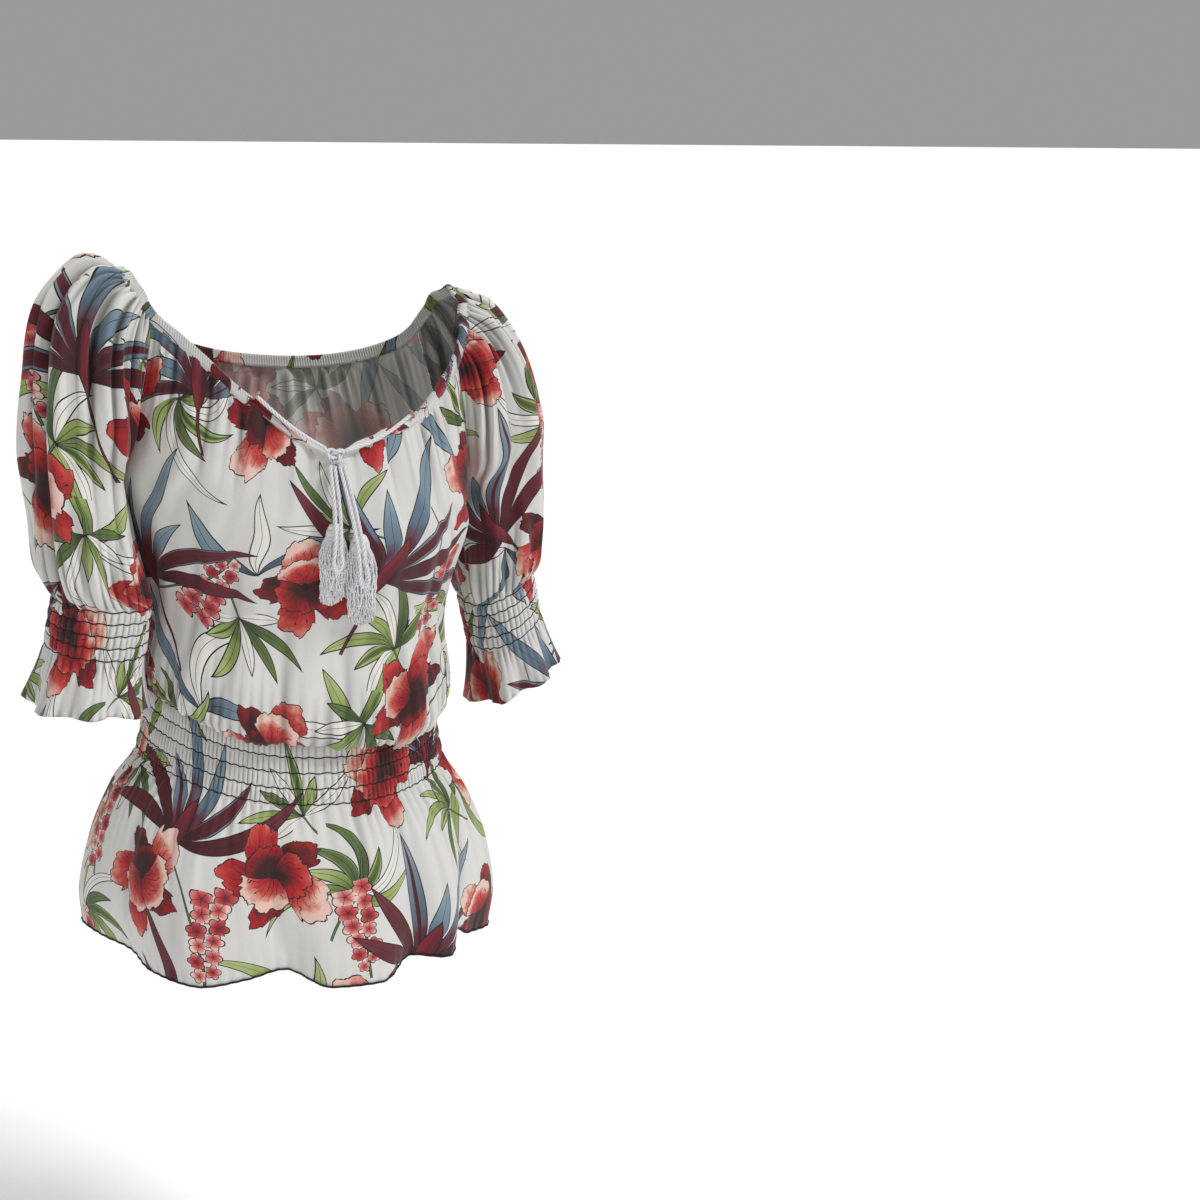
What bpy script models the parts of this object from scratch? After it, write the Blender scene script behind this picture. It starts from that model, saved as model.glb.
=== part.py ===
"""Peasant blouse, hollow, as it hangs when worn. Metres, +Z up, front towards -Y, origin between the shoulders."""

import math

import bpy
import numpy as np

WALL = 0.0012
SEAM = 0.0004
CUFF_SEAM = 0.0008
SLOPE = 0.085  # how far the wearer's left side hangs lower, per metre across

BAND_TOP = -0.402
BAND_BOTTOM = -0.478
BAND_CHANNELS = 5
BAND_GATHERS = 18  # to each half
BAND_PUFF = 0.0024

WAIST_LIFT = 0.026  # the band's sides above its front middle
WAIST_LIFT_BACK = 0.4
WAIST_LIFT_FROM = -0.650
WAIST_LIFT_TO = -0.240

UNDERARM = -0.185
RAGLAN_BACK_TOP = -0.037

CASING_HIGH = 0.009
CASING_THICK = 0.0026
CASING_GATHERS = 36

FRONT_COLUMNS = 36
BACK_COLUMNS = 30
NECK_DEPTH = 0.0035  # of the gathers under the casing
SLEEVE_COLUMNS = 30
SLEEVE_ROWS = 12
CUFF_GATHERS = 18
CUFF_CHANNELS = 4
CUFF_LONG = 0.046
CUFF_PUFF = 0.0020
RUFFLE_COLUMNS = 32
RUFFLE_WAVES = 7
RUFFLE_DEPTH = 0.006
PEPLUM_COLUMNS = 30
PEPLUM_ROWS = 6

CORD = 0.0038
CORD_SIDES = 2

# Rings of the body, from the hem up to the shoulders.
BODY_COLUMNS = ("z", "half_width", "front", "back", "square")
BODY = (
    (-0.740, 0.186, 0.150, 0.128, 2.0),
    (-0.645, 0.188, 0.148, 0.126, 2.0),
    (-0.600, 0.196, 0.144, 0.119, 2.05),
    (-0.555, 0.190, 0.134, 0.107, 2.1),
    (-0.512, 0.174, 0.117, 0.091, 2.2),
    (-0.478, 0.149, 0.097, 0.073, 2.3),
    (-0.402, 0.138, 0.093, 0.069, 2.3),
    (-0.365, 0.139, 0.096, 0.069, 2.3),
    (-0.320, 0.142, 0.103, 0.070, 2.3),
    (-0.275, 0.149, 0.114, 0.073, 2.35),
    (-0.232, 0.158, 0.125, 0.080, 2.4),
    (-0.192, 0.165, 0.123, 0.087, 2.4),
    (-0.148, 0.167, 0.111, 0.091, 2.35),
    (-0.100, 0.166, 0.096, 0.090, 2.3),
    (-0.055, 0.164, 0.079, 0.082, 2.3),
    (-0.020, 0.161, 0.064, 0.070, 2.3),
)

# The seam between body and sleeve: degrees in from the side, at front and back.
RAGLAN_COLUMNS = ("z", "front", "back")
RAGLAN = (
    (-0.800, 0.0, 0.0),
    (-0.185, 0.0, 0.0),
    (-0.168, 10.0, 10.0),
    (-0.135, 19.0, 18.0),
    (-0.090, 26.0, 26.0),
    (-0.052, 30.0, 33.0),
    (-0.020, 32.0, 38.0),
)

# Upper edge of the front: share of the way across, from the wearer's left.
NECK_COLUMNS = ("across", "z", "under_casing")
NECK = (
    (0.000, -0.052, 1.0),
    (0.080, -0.064, 1.0),
    (0.170, -0.082, 1.0),
    (0.245, -0.100, 1.0),
    (0.273, -0.104, 0.0),
    (0.360, -0.114, 0.0),
    (0.450, -0.128, 0.0),
    (0.490, -0.136, 0.0),
    (0.530, -0.130, 0.0),
    (0.600, -0.112, 0.0),
    (0.665, -0.094, 0.0),
    (0.693, -0.089, 1.0),
    (0.800, -0.062, 1.0),
    (0.900, -0.042, 1.0),
    (1.000, -0.030, 1.0),
)
EYELETS = {"tie_left": 0.273, "tie_right": 0.665}  # where the cords come out, as shares across
NECK_BACK_DIP = 0.046

# How the body hangs over the waistband, by degrees round from the wearer's left side.
BLOUSE_COLUMNS = ("turn", "bulge", "drop")
BLOUSE = (
    (0, 0.012, 0.008),
    (25, 0.015, 0.014),
    (45, 0.020, 0.024),
    (62, 0.022, 0.024),
    (72, 0.018, 0.019),
    (84, 0.020, 0.019),
    (98, 0.016, 0.014),
    (112, 0.020, 0.017),
    (132, 0.018, 0.013),
    (155, 0.014, 0.007),
    (180, 0.012, 0.005),
    (215, 0.017, 0.006),
    (250, 0.010, 0.004),
    (290, 0.010, 0.004),
    (325, 0.018, 0.006),
    (360, 0.012, 0.008),
)

# Folds of the peplum at its hem, all round.
HEM_COLUMNS = ("turn", "out", "z")
HEM = (
    (0, 0.004, -0.632),
    (14, 0.014, -0.636),
    (27, -0.004, -0.634),
    (38, -0.010, -0.622),
    (52, 0.010, -0.630),
    (64, -0.008, -0.626),
    (78, 0.012, -0.637),
    (92, 0.010, -0.638),
    (104, -0.010, -0.628),
    (116, 0.002, -0.636),
    (130, 0.014, -0.644),
    (146, 0.004, -0.644),
    (160, -0.008, -0.638),
    (172, 0.004, -0.634),
    (186, 0.014, -0.632),
    (200, -0.006, -0.630),
    (214, 0.016, -0.632),
    (232, -0.010, -0.632),
    (250, 0.016, -0.638),
    (270, -0.010, -0.638),
    (288, 0.017, -0.642),
    (306, -0.010, -0.636),
    (324, 0.017, -0.636),
    (343, -0.006, -0.632),
    (360, 0.004, -0.632),
)

# Sections of each sleeve. seam is the share of the raglan seam that the section has reached.
SLEEVE_TABLE = (
    "down", "seam", "out_x", "out_y", "out_z", "in_x", "in_y", "in_z", "deep", "closed",
)
SLEEVE_RIGHT = (
    (0.00, 0.00, 0.163, 0.002, 0.000, 0.150, 0.000, -0.050, 0.000, 0.0),
    (0.08, 0.14, 0.181, 0.002, 0.002, 0.150, 0.000, -0.070, 0.004, 0.0),
    (0.18, 0.32, 0.209, 0.002, -0.016, 0.155, 0.000, -0.100, 0.012, 0.1),
    (0.30, 0.55, 0.230, 0.000, -0.052, 0.158, 0.000, -0.130, 0.024, 0.35),
    (0.42, 0.78, 0.239, -0.004, -0.102, 0.162, 0.000, -0.160, 0.040, 0.7),
    (0.55, 1.00, 0.244, -0.010, -0.156, 0.165, 0.000, -0.185, 0.056, 1.0),
    (0.70, 1.00, 0.245, -0.020, -0.206, 0.162, -0.018, -0.230, 0.061, 1.0),
    (0.84, 1.00, 0.244, -0.030, -0.250, 0.155, -0.030, -0.264, 0.058, 1.0),
    (0.94, 1.00, 0.239, -0.036, -0.281, 0.150, -0.038, -0.286, 0.052, 1.0),
    (1.00, 1.00, 0.233, -0.038, -0.293, 0.147, -0.040, -0.295, 0.046, 1.0),
)
SLEEVE_LEFT = (
    (0.00, 0.00, 0.163, 0.002, 0.000, 0.150, 0.000, -0.050, 0.000, 0.0),
    (0.08, 0.14, 0.184, 0.004, -0.008, 0.150, 0.000, -0.070, 0.004, 0.0),
    (0.18, 0.32, 0.208, 0.006, -0.032, 0.155, 0.000, -0.100, 0.012, 0.1),
    (0.30, 0.55, 0.230, 0.008, -0.068, 0.158, 0.000, -0.130, 0.024, 0.35),
    (0.42, 0.78, 0.245, 0.008, -0.106, 0.162, 0.000, -0.160, 0.040, 0.7),
    (0.55, 1.00, 0.250, 0.006, -0.148, 0.165, 0.000, -0.185, 0.055, 1.0),
    (0.70, 1.00, 0.250, 0.002, -0.194, 0.164, -0.002, -0.226, 0.061, 1.0),
    (0.84, 1.00, 0.247, 0.000, -0.226, 0.166, -0.004, -0.264, 0.060, 1.0),
    (0.94, 1.00, 0.244, 0.000, -0.248, 0.170, -0.006, -0.290, 0.056, 1.0),
    (1.00, 1.00, 0.240, 0.000, -0.259, 0.174, -0.006, -0.302, 0.051, 1.0),
)
SLEEVE_LEAN = {-1: 0.17, 1: 0.22}  # how far the end of each sleeve leans out as it goes down

# Each ruffle, from its cuff down.
RUFFLE_TABLE = ("share", "wide", "deep")
RUFFLE = (
    (0.00, 1.00, 1.00),
    (0.33, 1.06, 1.10),
    (0.67, 1.13, 1.22),
    (1.00, 1.20, 1.32),
)
RUFFLE_LONG = {-1: 0.054, 1: 0.050}

# The drawstring: sideways and up from the origin, on the front's own surface.
KNOT = (0.004, -0.138)
KNOT_RADIUS = 0.0095
KNOT_HIGH = 0.0150
KNOT_CLEAR = 0.0066  # from the cloth's plain surface to the middle of the knot
EYELET_CLEAR = 0.0044
CORD_CLEAR = 0.0058
TASSEL_CLEAR = 0.0105
LOOP_CLEAR = 0.0190
TIE_SWAY = 0.004
TASSEL_TABLE = ("name", "x", "low_x", "top_z", "head_radius", "head_high", "long", "strands")
TASSELS = (
    ("tassel_right", -0.002, -0.001, -0.198, 0.0085, 0.014, 0.078, 22),
    ("tassel_left", 0.021, 0.031, -0.208, 0.0100, 0.015, 0.090, 26),
)
LOOP_TABLE = ("name", "top_x", "low_x", "low_z", "half_gap")
LOOPS = (
    ("tie_loop_right", -0.0004, -0.0020, -0.240, 0.0028),
    ("tie_loop_left", 0.0084, 0.0245, -0.254, 0.0028),
)

COLOURS = {
    "cloth": (0.76, 0.74, 0.72, 1.0),
    "white_cord": (0.80, 0.80, 0.84, 1.0),
}


def clear_scene():
    for found in list(bpy.data.objects):
        bpy.data.objects.remove(found, do_unlink=True)


def column(table, names, name):
    return np.array([row[names.index(name)] for row in table], float)


def smooth(xs, ys, x):
    """Monotone cubic through the points of a table, which must rise in xs."""
    xs, ys, x = np.asarray(xs, float), np.asarray(ys, float), np.asarray(x, float)
    slopes = np.diff(ys) / np.diff(xs)
    inner = np.where(
        slopes[:-1] * slopes[1:] > 0,
        2 * slopes[:-1] * slopes[1:] / np.where(slopes[:-1] + slopes[1:] == 0, 1, slopes[:-1] + slopes[1:]),
        0.0,
    )
    ends = np.concatenate([[slopes[0]], inner, [slopes[-1]]])
    i = np.clip(np.searchsorted(xs, x) - 1, 0, len(xs) - 2)
    step = xs[i + 1] - xs[i]
    t = np.clip((x - xs[i]) / step, 0.0, 1.0)
    return (
        ys[i] * (1 + 2 * t) * (1 - t) ** 2
        + ys[i + 1] * t * t * (3 - 2 * t)
        + step * ends[i] * t * (1 - t) ** 2
        + step * ends[i + 1] * t * t * (t - 1)
    )


def read(table, names, name, key, at):
    return smooth(column(table, names, key), column(table, names, name), at)


def leaned(points):
    """The whole blouse hangs a little lower on the wearer's left."""
    points = np.array(points, float)
    points[..., 2] -= SLOPE * points[..., 0]
    return points


def lift(turn, z):
    """How much higher the sides of the waist sit than its middle, at the height z of the middle."""
    near = np.clip((z - WAIST_LIFT_FROM) / (BAND_BOTTOM - WAIST_LIFT_FROM), 0, 1)
    near = near * np.clip((WAIST_LIFT_TO - z) / (WAIST_LIFT_TO - BAND_TOP), 0, 1)
    level = np.where(np.sin(turn) > 0, 1.0, 1.0 - WAIST_LIFT_BACK * np.abs(np.sin(turn)))
    middle = np.where(np.sin(turn) > 0, 0.0, 1.0 - WAIST_LIFT_BACK)
    return WAIST_LIFT * near * (np.cos(turn) ** 2 * level + np.sin(turn) ** 2 * middle)


def body(turn, z, out=0.0):
    """Point on the body's ring at height z. turn 0 is the wearer's left side and a quarter turn is the front."""
    turn, z = np.broadcast_arrays(np.asarray(turn, float), np.asarray(z, float))
    wide = read(BODY, BODY_COLUMNS, "half_width", "z", z) + out
    front = read(BODY, BODY_COLUMNS, "front", "z", z) + out
    back = read(BODY, BODY_COLUMNS, "back", "z", z) + out
    power = 2 / read(BODY, BODY_COLUMNS, "square", "z", z)
    c, s = np.cos(turn), np.sin(turn)
    deep = np.where(s > 0, front, back)
    x = wide * np.sign(c) * np.abs(c) ** power
    y = -deep * np.sign(s) * np.abs(s) ** power
    return np.stack([x, y, z + lift(turn, z)], -1)


def round_table(table, names, name, turn):
    """Reads a table that goes all the way round, by degrees."""
    return read(table, names, name, "turn", np.degrees(turn) % 360.0001)


def edge_turn(z, side):
    return np.radians(read(RAGLAN, RAGLAN_COLUMNS, side, "z", z))


def seam_shift(rows, gap):
    """Moves the first and last columns in along the sheet by half the seam's gap."""
    rows = rows.copy()
    for edge, inside in ((0, 1), (-1, -2)):
        along = rows[:, inside] - rows[:, edge]
        length = np.linalg.norm(along, axis=-1, keepdims=True)
        rows[:, edge] += along / length * gap / 2
    return rows


def front_top(across):
    z = read(NECK, NECK_COLUMNS, "z", "across", across)
    return z - (CASING_HIGH + SEAM) * read(NECK, NECK_COLUMNS, "under_casing", "across", across)


def back_top(across):
    dip = NECK_BACK_DIP * np.sin(np.pi * across) ** 0.8
    return RAGLAN_BACK_TOP - dip - CASING_HIGH - SEAM


def fold_rows(turn, bulge, drop):
    """The stretch that turns under, from the seam on the waistband out and up to the body."""
    steps = (
        (-WALL, 0.0005, 0.0),
        (0.0042, 0.0005, 0.0),
        (0.0044, 0.0, -0.55),
        (None, 0.0, -1.0),
        (bulge, 0.0, -0.5),
    )
    rows = []
    for out, rise, fall in steps:
        if out is None:
            out = 0.5 * (bulge + 0.0044)
        z = BAND_TOP + rise + fall * drop
        ring = body(turn, np.full_like(turn, BAND_TOP), 0.0)
        flat = body(turn, np.full_like(turn, BAND_TOP), 1.0) - ring
        ring = ring + flat * np.asarray(out)[..., None]
        ring[:, 2] += z - BAND_TOP
        rows.append(ring)
    return rows


def panel(columns, rows, front, gathers, depth):
    """Front or back of the body: rows of points from the waistband up to the neck."""
    across = np.linspace(0, 1, columns + 1)
    first = 0.0 if front else math.pi
    side = "front" if front else "back"
    flat_turn = first + np.pi * across
    bulge = round_table(BLOUSE, BLOUSE_COLUMNS, "bulge", flat_turn)
    drop = round_table(BLOUSE, BLOUSE_COLUMNS, "drop", flat_turn)
    grid = fold_rows(flat_turn, bulge, drop)
    top = front_top(across) if front else back_top(across)
    start = BAND_TOP + 0.012
    for up in np.linspace(0, 1, rows) ** 1.08:
        z = start + (top - start) * up
        begin = first + edge_turn(z[0], side)
        end = first + np.pi - edge_turn(z[-1], side)
        turn = begin + (end - begin) * across
        loose = bulge * np.exp(-(((z - start) / 0.055) ** 2))
        fade = np.clip((z - (top - 0.16)) / 0.16, 0, 1) ** 1.6
        fade = fade * (1 - 0.75 * np.clip((z - (top - 0.012)) / 0.012, 0, 1))
        ends = np.clip(np.minimum(across, 1 - across) / 0.06, 0, 1)
        wave = np.cos(2 * np.pi * gathers * across + 0.9 * np.sin(5 * across))
        low = np.clip((start + 0.13 - z) / 0.13, 0, 1) ** 1.5
        low_wave = np.cos(2 * np.pi * 9 * across + 1.2 * np.sin(4 * across))
        out = loose + ends * (depth * fade * wave + 0.0030 * low * low_wave)
        grid.append(body(turn, z, out))
    return np.array(grid)


def add_material(thing, name, colour, rough):
    made = bpy.data.materials.new(name)
    made.use_nodes = True
    node = next(n for n in made.node_tree.nodes if n.type == "BSDF_PRINCIPLED")
    node.inputs["Base Color"].default_value = colour
    node.inputs["Roughness"].default_value = rough
    node.inputs["Metallic"].default_value = 0.0
    thing.data.materials.append(made)


def link(name, data, group, kind="cloth"):
    made = bpy.data.objects.new(name, data)
    group.objects.link(made)
    add_material(made, name + "_" + kind, COLOURS[kind], 0.85)
    return made


def quads(rows, columns, closed):
    """Faces of a grid of points, whose columns go round the piece."""
    faces = []
    wraps = columns if closed else columns - 1
    for i in range(rows - 1):
        for j in range(wraps):
            k = (j + 1) % columns
            a, b = i * columns + j, i * columns + k
            faces.append((a, a + columns, b + columns, b))
    return faces


def sheet(name, grid, group, flip=False, closed=False):
    """An open surface made a wall, whose outer face keeps the points given."""
    grid = leaned(grid)
    rows, columns = grid.shape[:2]
    faces = quads(rows, columns, closed)
    if flip:
        faces = [face[::-1] for face in faces]
    mesh = bpy.data.meshes.new(name)
    mesh.from_pydata(grid.reshape(-1, 3).tolist(), [], faces)
    made = link(name, mesh, group)
    solid = made.modifiers.new("Wall", "SOLIDIFY")
    solid.thickness = WALL
    solid.offset = -1.0
    solid.use_even_offset = False
    return made


def shirred(name, outer, inner, group, flip=False, closed=False):
    """A wall with gathers raised in its outer points, over a plain inside of fewer rows."""
    outer, inner = leaned(outer), leaned(inner)
    rows, columns = outer.shape[:2]
    spans = len(inner) - 1
    step = (rows - 1) // spans
    points = np.concatenate([outer.reshape(-1, 3), inner.reshape(-1, 3)])
    base = rows * columns
    last = (rows - 1) * columns
    faces = quads(rows, columns, closed)
    wraps = columns if closed else columns - 1
    top = base + spans * columns
    for j in range(wraps):
        k = (j + 1) % columns
        for low in range(base, top, columns):
            faces.append((low + j, low + k, low + columns + k, low + columns + j))
        faces.append((j, k, base + k, base + j))
        faces.append((last + k, last + j, top + j, top + k))
    if not closed:
        for j, turned in ((0, False), (columns - 1, True)):
            fan = []
            for span in range(spans):
                low = base + span * columns + j
                high = low + columns
                middle = span * step + step // 2
                fan.append((middle * columns + j, high, low))
                for i in range(span * step, (span + 1) * step):
                    fan.append((i * columns + j, (i + 1) * columns + j, low if i < middle else high))
            faces.extend(fan if turned else [face[::-1] for face in fan])
    if flip:
        faces = [face[::-1] for face in faces]
    mesh = bpy.data.meshes.new(name)
    mesh.from_pydata(points.tolist(), [], faces)
    return link(name, mesh, group)


def puffs(rows, columns, channels, gathers, depth):
    """How far each point of a shirred wall stands out: none at the threads, most between them."""
    i = np.arange(rows)[:, None] / (rows - 1)
    j = np.arange(columns)[None, :]
    between = np.abs(np.sin(np.pi * channels * i))
    ridge = 0.5 + 0.5 * np.cos(np.pi * j)
    uneven = 0.8 + 0.2 * np.sin(1.7 * j + 2.3 * np.floor(channels * i - 1e-6))
    return depth * (0.25 + 0.75 * ridge) * between * uneven * (gathers > 0)


def waistband(name, front, group):
    columns = 2 * BAND_GATHERS + 1
    rows = 2 * BAND_CHANNELS + 1
    turn = (0.0 if front else math.pi) + np.linspace(0, np.pi, columns)
    z = np.linspace(BAND_BOTTOM, BAND_TOP, rows)[:, None] + 0 * turn
    out = puffs(rows, columns, BAND_CHANNELS, BAND_GATHERS, BAND_PUFF)
    outer = seam_shift(body(turn + 0 * z, z, out), SEAM)
    threads = z[::2]
    inner = seam_shift(body(turn + 0 * threads, threads, -WALL), SEAM)
    return shirred(name, outer, inner, group)


def peplum(name, front, group):
    across = np.linspace(0, 1, PEPLUM_COLUMNS + 1)
    turn = (0.0 if front else math.pi) + np.pi * across
    hem = round_table(HEM, HEM_COLUMNS, "z", turn)
    out = round_table(HEM, HEM_COLUMNS, "out", turn)
    grid = []
    for down in np.linspace(0, 1, PEPLUM_ROWS + 1) ** 1.15:
        z = (BAND_BOTTOM - SEAM) + (hem - BAND_BOTTOM) * down
        fine = 0.0016 * np.cos(2 * np.pi * 10 * across) * min(1, 6 * down) * (1 - down) ** 3
        grid.append(body(turn, z, out * down ** 1.3 + fine))
    grid = seam_shift(np.array(grid)[::-1], SEAM)
    return sheet(name, grid, group)


def seam_point(z, front, sign):
    """Point on the raglan seam at height z on the sleeve's side."""
    side = "front" if front else "back"
    turn = edge_turn(z, side)
    if not front:
        turn = -turn
    spot = body(turn, z)
    spot[..., 0] *= sign
    return spot


def sleeve_section(table, down, sign, around):
    """One section of a sleeve, from its front edge over the outside to its back edge."""
    values = {n: float(read(table, SLEEVE_TABLE, n, "down", down)) for n in SLEEVE_TABLE}
    seam = min(max(values["seam"], 0.0), 1.0)
    front_z = NECK[0 if sign > 0 else -1][1] - CASING_HIGH - SEAM
    back_z = RAGLAN_BACK_TOP - CASING_HIGH - SEAM
    front = seam_point(np.array(front_z + (UNDERARM - front_z) * seam), True, sign)
    back = seam_point(np.array(back_z + (UNDERARM - back_z) * seam), False, sign)
    if seam >= 0.9999:
        front = np.array([sign * values["in_x"], values["in_y"], values["in_z"]])
        back = front.copy()
    crown = np.array([sign * values["out_x"], values["out_y"], values["out_z"]])
    middle = 0.5 * (front + back)
    half = 0.5 * (front - back)
    t = np.pi * around
    rise = np.sin(t) ** (1 + values["closed"])
    deep = values["deep"] * np.sign(np.sin(2 * t)) * np.abs(np.sin(2 * t)) ** 0.82
    section = middle + rise[:, None] * (crown - middle) + np.cos(t)[:, None] * half
    section[:, 1] -= deep
    return section


def sleeve_grid(table, sign):
    around = np.linspace(0, 1, SLEEVE_COLUMNS + 1)
    downs = np.linspace(0, 1, SLEEVE_ROWS + 1)
    rows = np.array([sleeve_section(table, d, sign, around) for d in downs])
    centre = rows[:, 1:-1].mean(axis=1, keepdims=True)
    away = rows - centre
    away /= np.linalg.norm(away, axis=-1, keepdims=True)
    ends = np.clip(np.minimum(around, 1 - around) / 0.08, 0, 1)
    top = np.clip(1 - downs / 0.55, 0, 1)[:, None] ** 0.8 * np.clip(downs / 0.24, 0, 1)[:, None]
    low = np.clip((downs - 0.55) / 0.35, 0, 1)[:, None] * np.clip((1 - downs) / 0.05, 0, 1)[:, None]
    ripple = 0.0045 * top * np.cos(2 * np.pi * 10 * around + 0.8)
    ripple = ripple + 0.0035 * low * np.cos(2 * np.pi * 10 * around + 2.0)
    ripple = ripple + 0.004 * (1 - top) * np.cos(2 * np.pi * 5 * around + 1.0 + 1.4 * downs[:, None])
    quiet = np.clip((1 - downs) / 0.08, 0, 1)[:, None]
    return rows + away * (ripple * ends * quiet)[..., None]


def end_frame(table, sign):
    """Centre and axes of the sleeve's lower end: across it, through it and down the sleeve."""
    last = {n: table[-1][SLEEVE_TABLE.index(n)] for n in SLEEVE_TABLE}
    outer = np.array([sign * last["out_x"], last["out_y"], last["out_z"]])
    inner = np.array([sign * last["in_x"], last["in_y"], last["in_z"]])
    wide = 0.5 * (outer - inner)
    half = np.linalg.norm(wide)
    along = np.array([sign * SLEEVE_LEAN[sign], 0.0, -1.0])
    along /= np.linalg.norm(along)
    return 0.5 * (outer + inner), wide / half, np.array([0.0, 1.0, 0.0]), along, half, last["deep"]


def end_ring(frame, along_by, wide, deep, columns, out=0.0):
    centre, across, through, along, half, depth = frame
    turn = np.linspace(0, 2 * np.pi, columns, endpoint=False)
    c = -np.cos(turn)
    s = -np.sign(np.sin(turn)) * np.abs(np.sin(turn)) ** 0.9
    ring = centre + along * along_by
    return (
        ring
        + across * ((half * wide + out) * c)[:, None]
        + through * ((depth * deep + out) * s)[:, None]
    )


def cuff(name, table, sign, group):
    frame = end_frame(table, sign)
    columns = 2 * CUFF_GATHERS
    rows = 2 * CUFF_CHANNELS + 1
    out = puffs(rows, columns, CUFF_CHANNELS, CUFF_GATHERS, CUFF_PUFF)
    steps = np.linspace(CUFF_SEAM, CUFF_LONG, rows)
    outer = np.array([end_ring(frame, a, 1, 1, columns, o) for a, o in zip(steps, out)])
    inner = np.array([end_ring(frame, a, 1, 1, columns, -WALL) for a in steps[[0, -1]]])
    return shirred(name, outer[::-1], inner[::-1], group, flip=sign > 0, closed=True)


def ruffle(name, table, sign, group):
    frame = end_frame(table, sign)
    turn = np.linspace(0, 2 * np.pi, RUFFLE_COLUMNS, endpoint=False)
    wave = np.cos(RUFFLE_WAVES * turn + 0.6) + 0.4 * np.cos(3 * turn)
    grid = []
    for share, wide, deep in RUFFLE:
        out = RUFFLE_DEPTH * share * wave
        ring_at = CUFF_LONG + SEAM + RUFFLE_LONG[sign] * share + 0.003 * share * np.cos(2 * turn)
        ring = [end_ring(frame, a, wide, deep, RUFFLE_COLUMNS, out)[i] for i, a in enumerate(ring_at)]
        grid.append(ring)
    return sheet(name, np.array(grid)[::-1], group, flip=sign > 0, closed=True)


def casing(front_rows, back_rows, sleeves, group):
    """The elastic casing, from one eyelet round the back of the neck to the other."""
    across = np.linspace(0, 1, front_rows.shape[1])
    under = read(NECK, NECK_COLUMNS, "under_casing", "across", across) > 0.5
    left = np.flatnonzero(under & (across < 0.5))[::-1]
    right = np.flatnonzero(under & (across > 0.5))
    tops, belows = [], []

    def take(rows, order):
        tops.extend(rows[-1, order])
        belows.extend(rows[-3, order])

    take(front_rows, left[:-1])
    sleeve = sleeves[1]
    tops.extend(sleeve[0, 1:-1])
    belows.extend(sleeve[1, 1:-1])
    last = back_rows.shape[1] - 1
    take(back_rows, np.arange(last - 1, 0, -1))
    sleeve = sleeves[-1]
    tops.extend(sleeve[0, 1:-1][::-1])
    belows.extend(sleeve[1, 1:-1][::-1])
    take(front_rows, right[::-1][1:])
    tops, belows = np.array(tops), np.array(belows)
    run = np.concatenate([[0], np.cumsum(np.linalg.norm(np.diff(tops, axis=0), axis=1))])
    at = np.linspace(0, run[-1], 2 * CASING_GATHERS + 1)
    up = tops - belows
    up /= np.linalg.norm(up, axis=1, keepdims=True)
    for _ in range(14):
        up[1:-1] = (up[:-2] + up[1:-1] + up[2:]) / 3
    for _ in range(3):
        tops[1:-1] = 0.15 * tops[:-2] + 0.7 * tops[1:-1] + 0.15 * tops[2:]
    tops = np.stack([np.interp(at, run, tops[:, k]) for k in range(3)], -1)
    up = np.stack([np.interp(at, run, up[:, k]) for k in range(3)], -1)
    up /= np.linalg.norm(up, axis=1, keepdims=True)
    along = np.gradient(tops, axis=0)
    along /= np.linalg.norm(along, axis=1, keepdims=True)
    outward = np.cross(up, along)
    outward /= np.linalg.norm(outward, axis=1, keepdims=True)
    bump = 0.0009 * (0.5 + 0.5 * np.cos(np.pi * np.arange(len(at))))[:, None]
    low, high = 0.0006, CASING_HIGH
    outer = [
        tops + up * low + outward * (0.0002 + bump * 0.3),
        tops + up * (low + high) / 2 + outward * (0.0008 + bump),
        tops + up * high + outward * (0.0002 + bump * 0.3),
    ]
    inner = [tops + up * k - outward * (CASING_THICK - 0.0008) for k in (low, high)]
    return shirred("neck_casing", np.array(outer), np.array(inner), group)


def tube(name, points, radius, group):
    """A round cord along the points."""
    curve = bpy.data.curves.new(name, "CURVE")
    curve.dimensions = "3D"
    curve.bevel_depth = radius
    curve.bevel_resolution = CORD_SIDES
    curve.use_fill_caps = True
    line = curve.splines.new("POLY")
    line.points.add(len(points) - 1)
    for spot, point in zip(line.points, points):
        spot.co = (*point, 1.0)
    return link(name, curve, group, "white_cord")


def even(points, step):
    """Points along a smooth curve through these, about one step apart."""
    points = np.asarray(points, float)
    run = np.concatenate([[0], np.cumsum(np.linalg.norm(np.diff(points, axis=0), axis=1))])
    fine = np.linspace(0, run[-1], 400)
    line = np.stack([smooth_curve(run, points[:, k], fine) for k in range(3)], -1)
    length = np.concatenate([[0], np.cumsum(np.linalg.norm(np.diff(line, axis=0), axis=1))])
    at = np.linspace(0, length[-1], max(4, round(length[-1] / step) + 1))
    return np.stack([np.interp(at, length, line[:, k]) for k in range(3)], -1)


def smooth_curve(xs, ys, x):
    """Cubic through the points with the slopes of their neighbours."""
    slopes = np.gradient(ys, xs)
    i = np.clip(np.searchsorted(xs, x) - 1, 0, len(xs) - 2)
    step = xs[i + 1] - xs[i]
    t = (x - xs[i]) / step
    return (
        ys[i] * (1 + 2 * t) * (1 - t) ** 2
        + ys[i + 1] * t * t * (3 - 2 * t)
        + step * slopes[i] * t * (1 - t) ** 2
        + step * slopes[i + 1] * t * t * (t - 1)
    )


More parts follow.
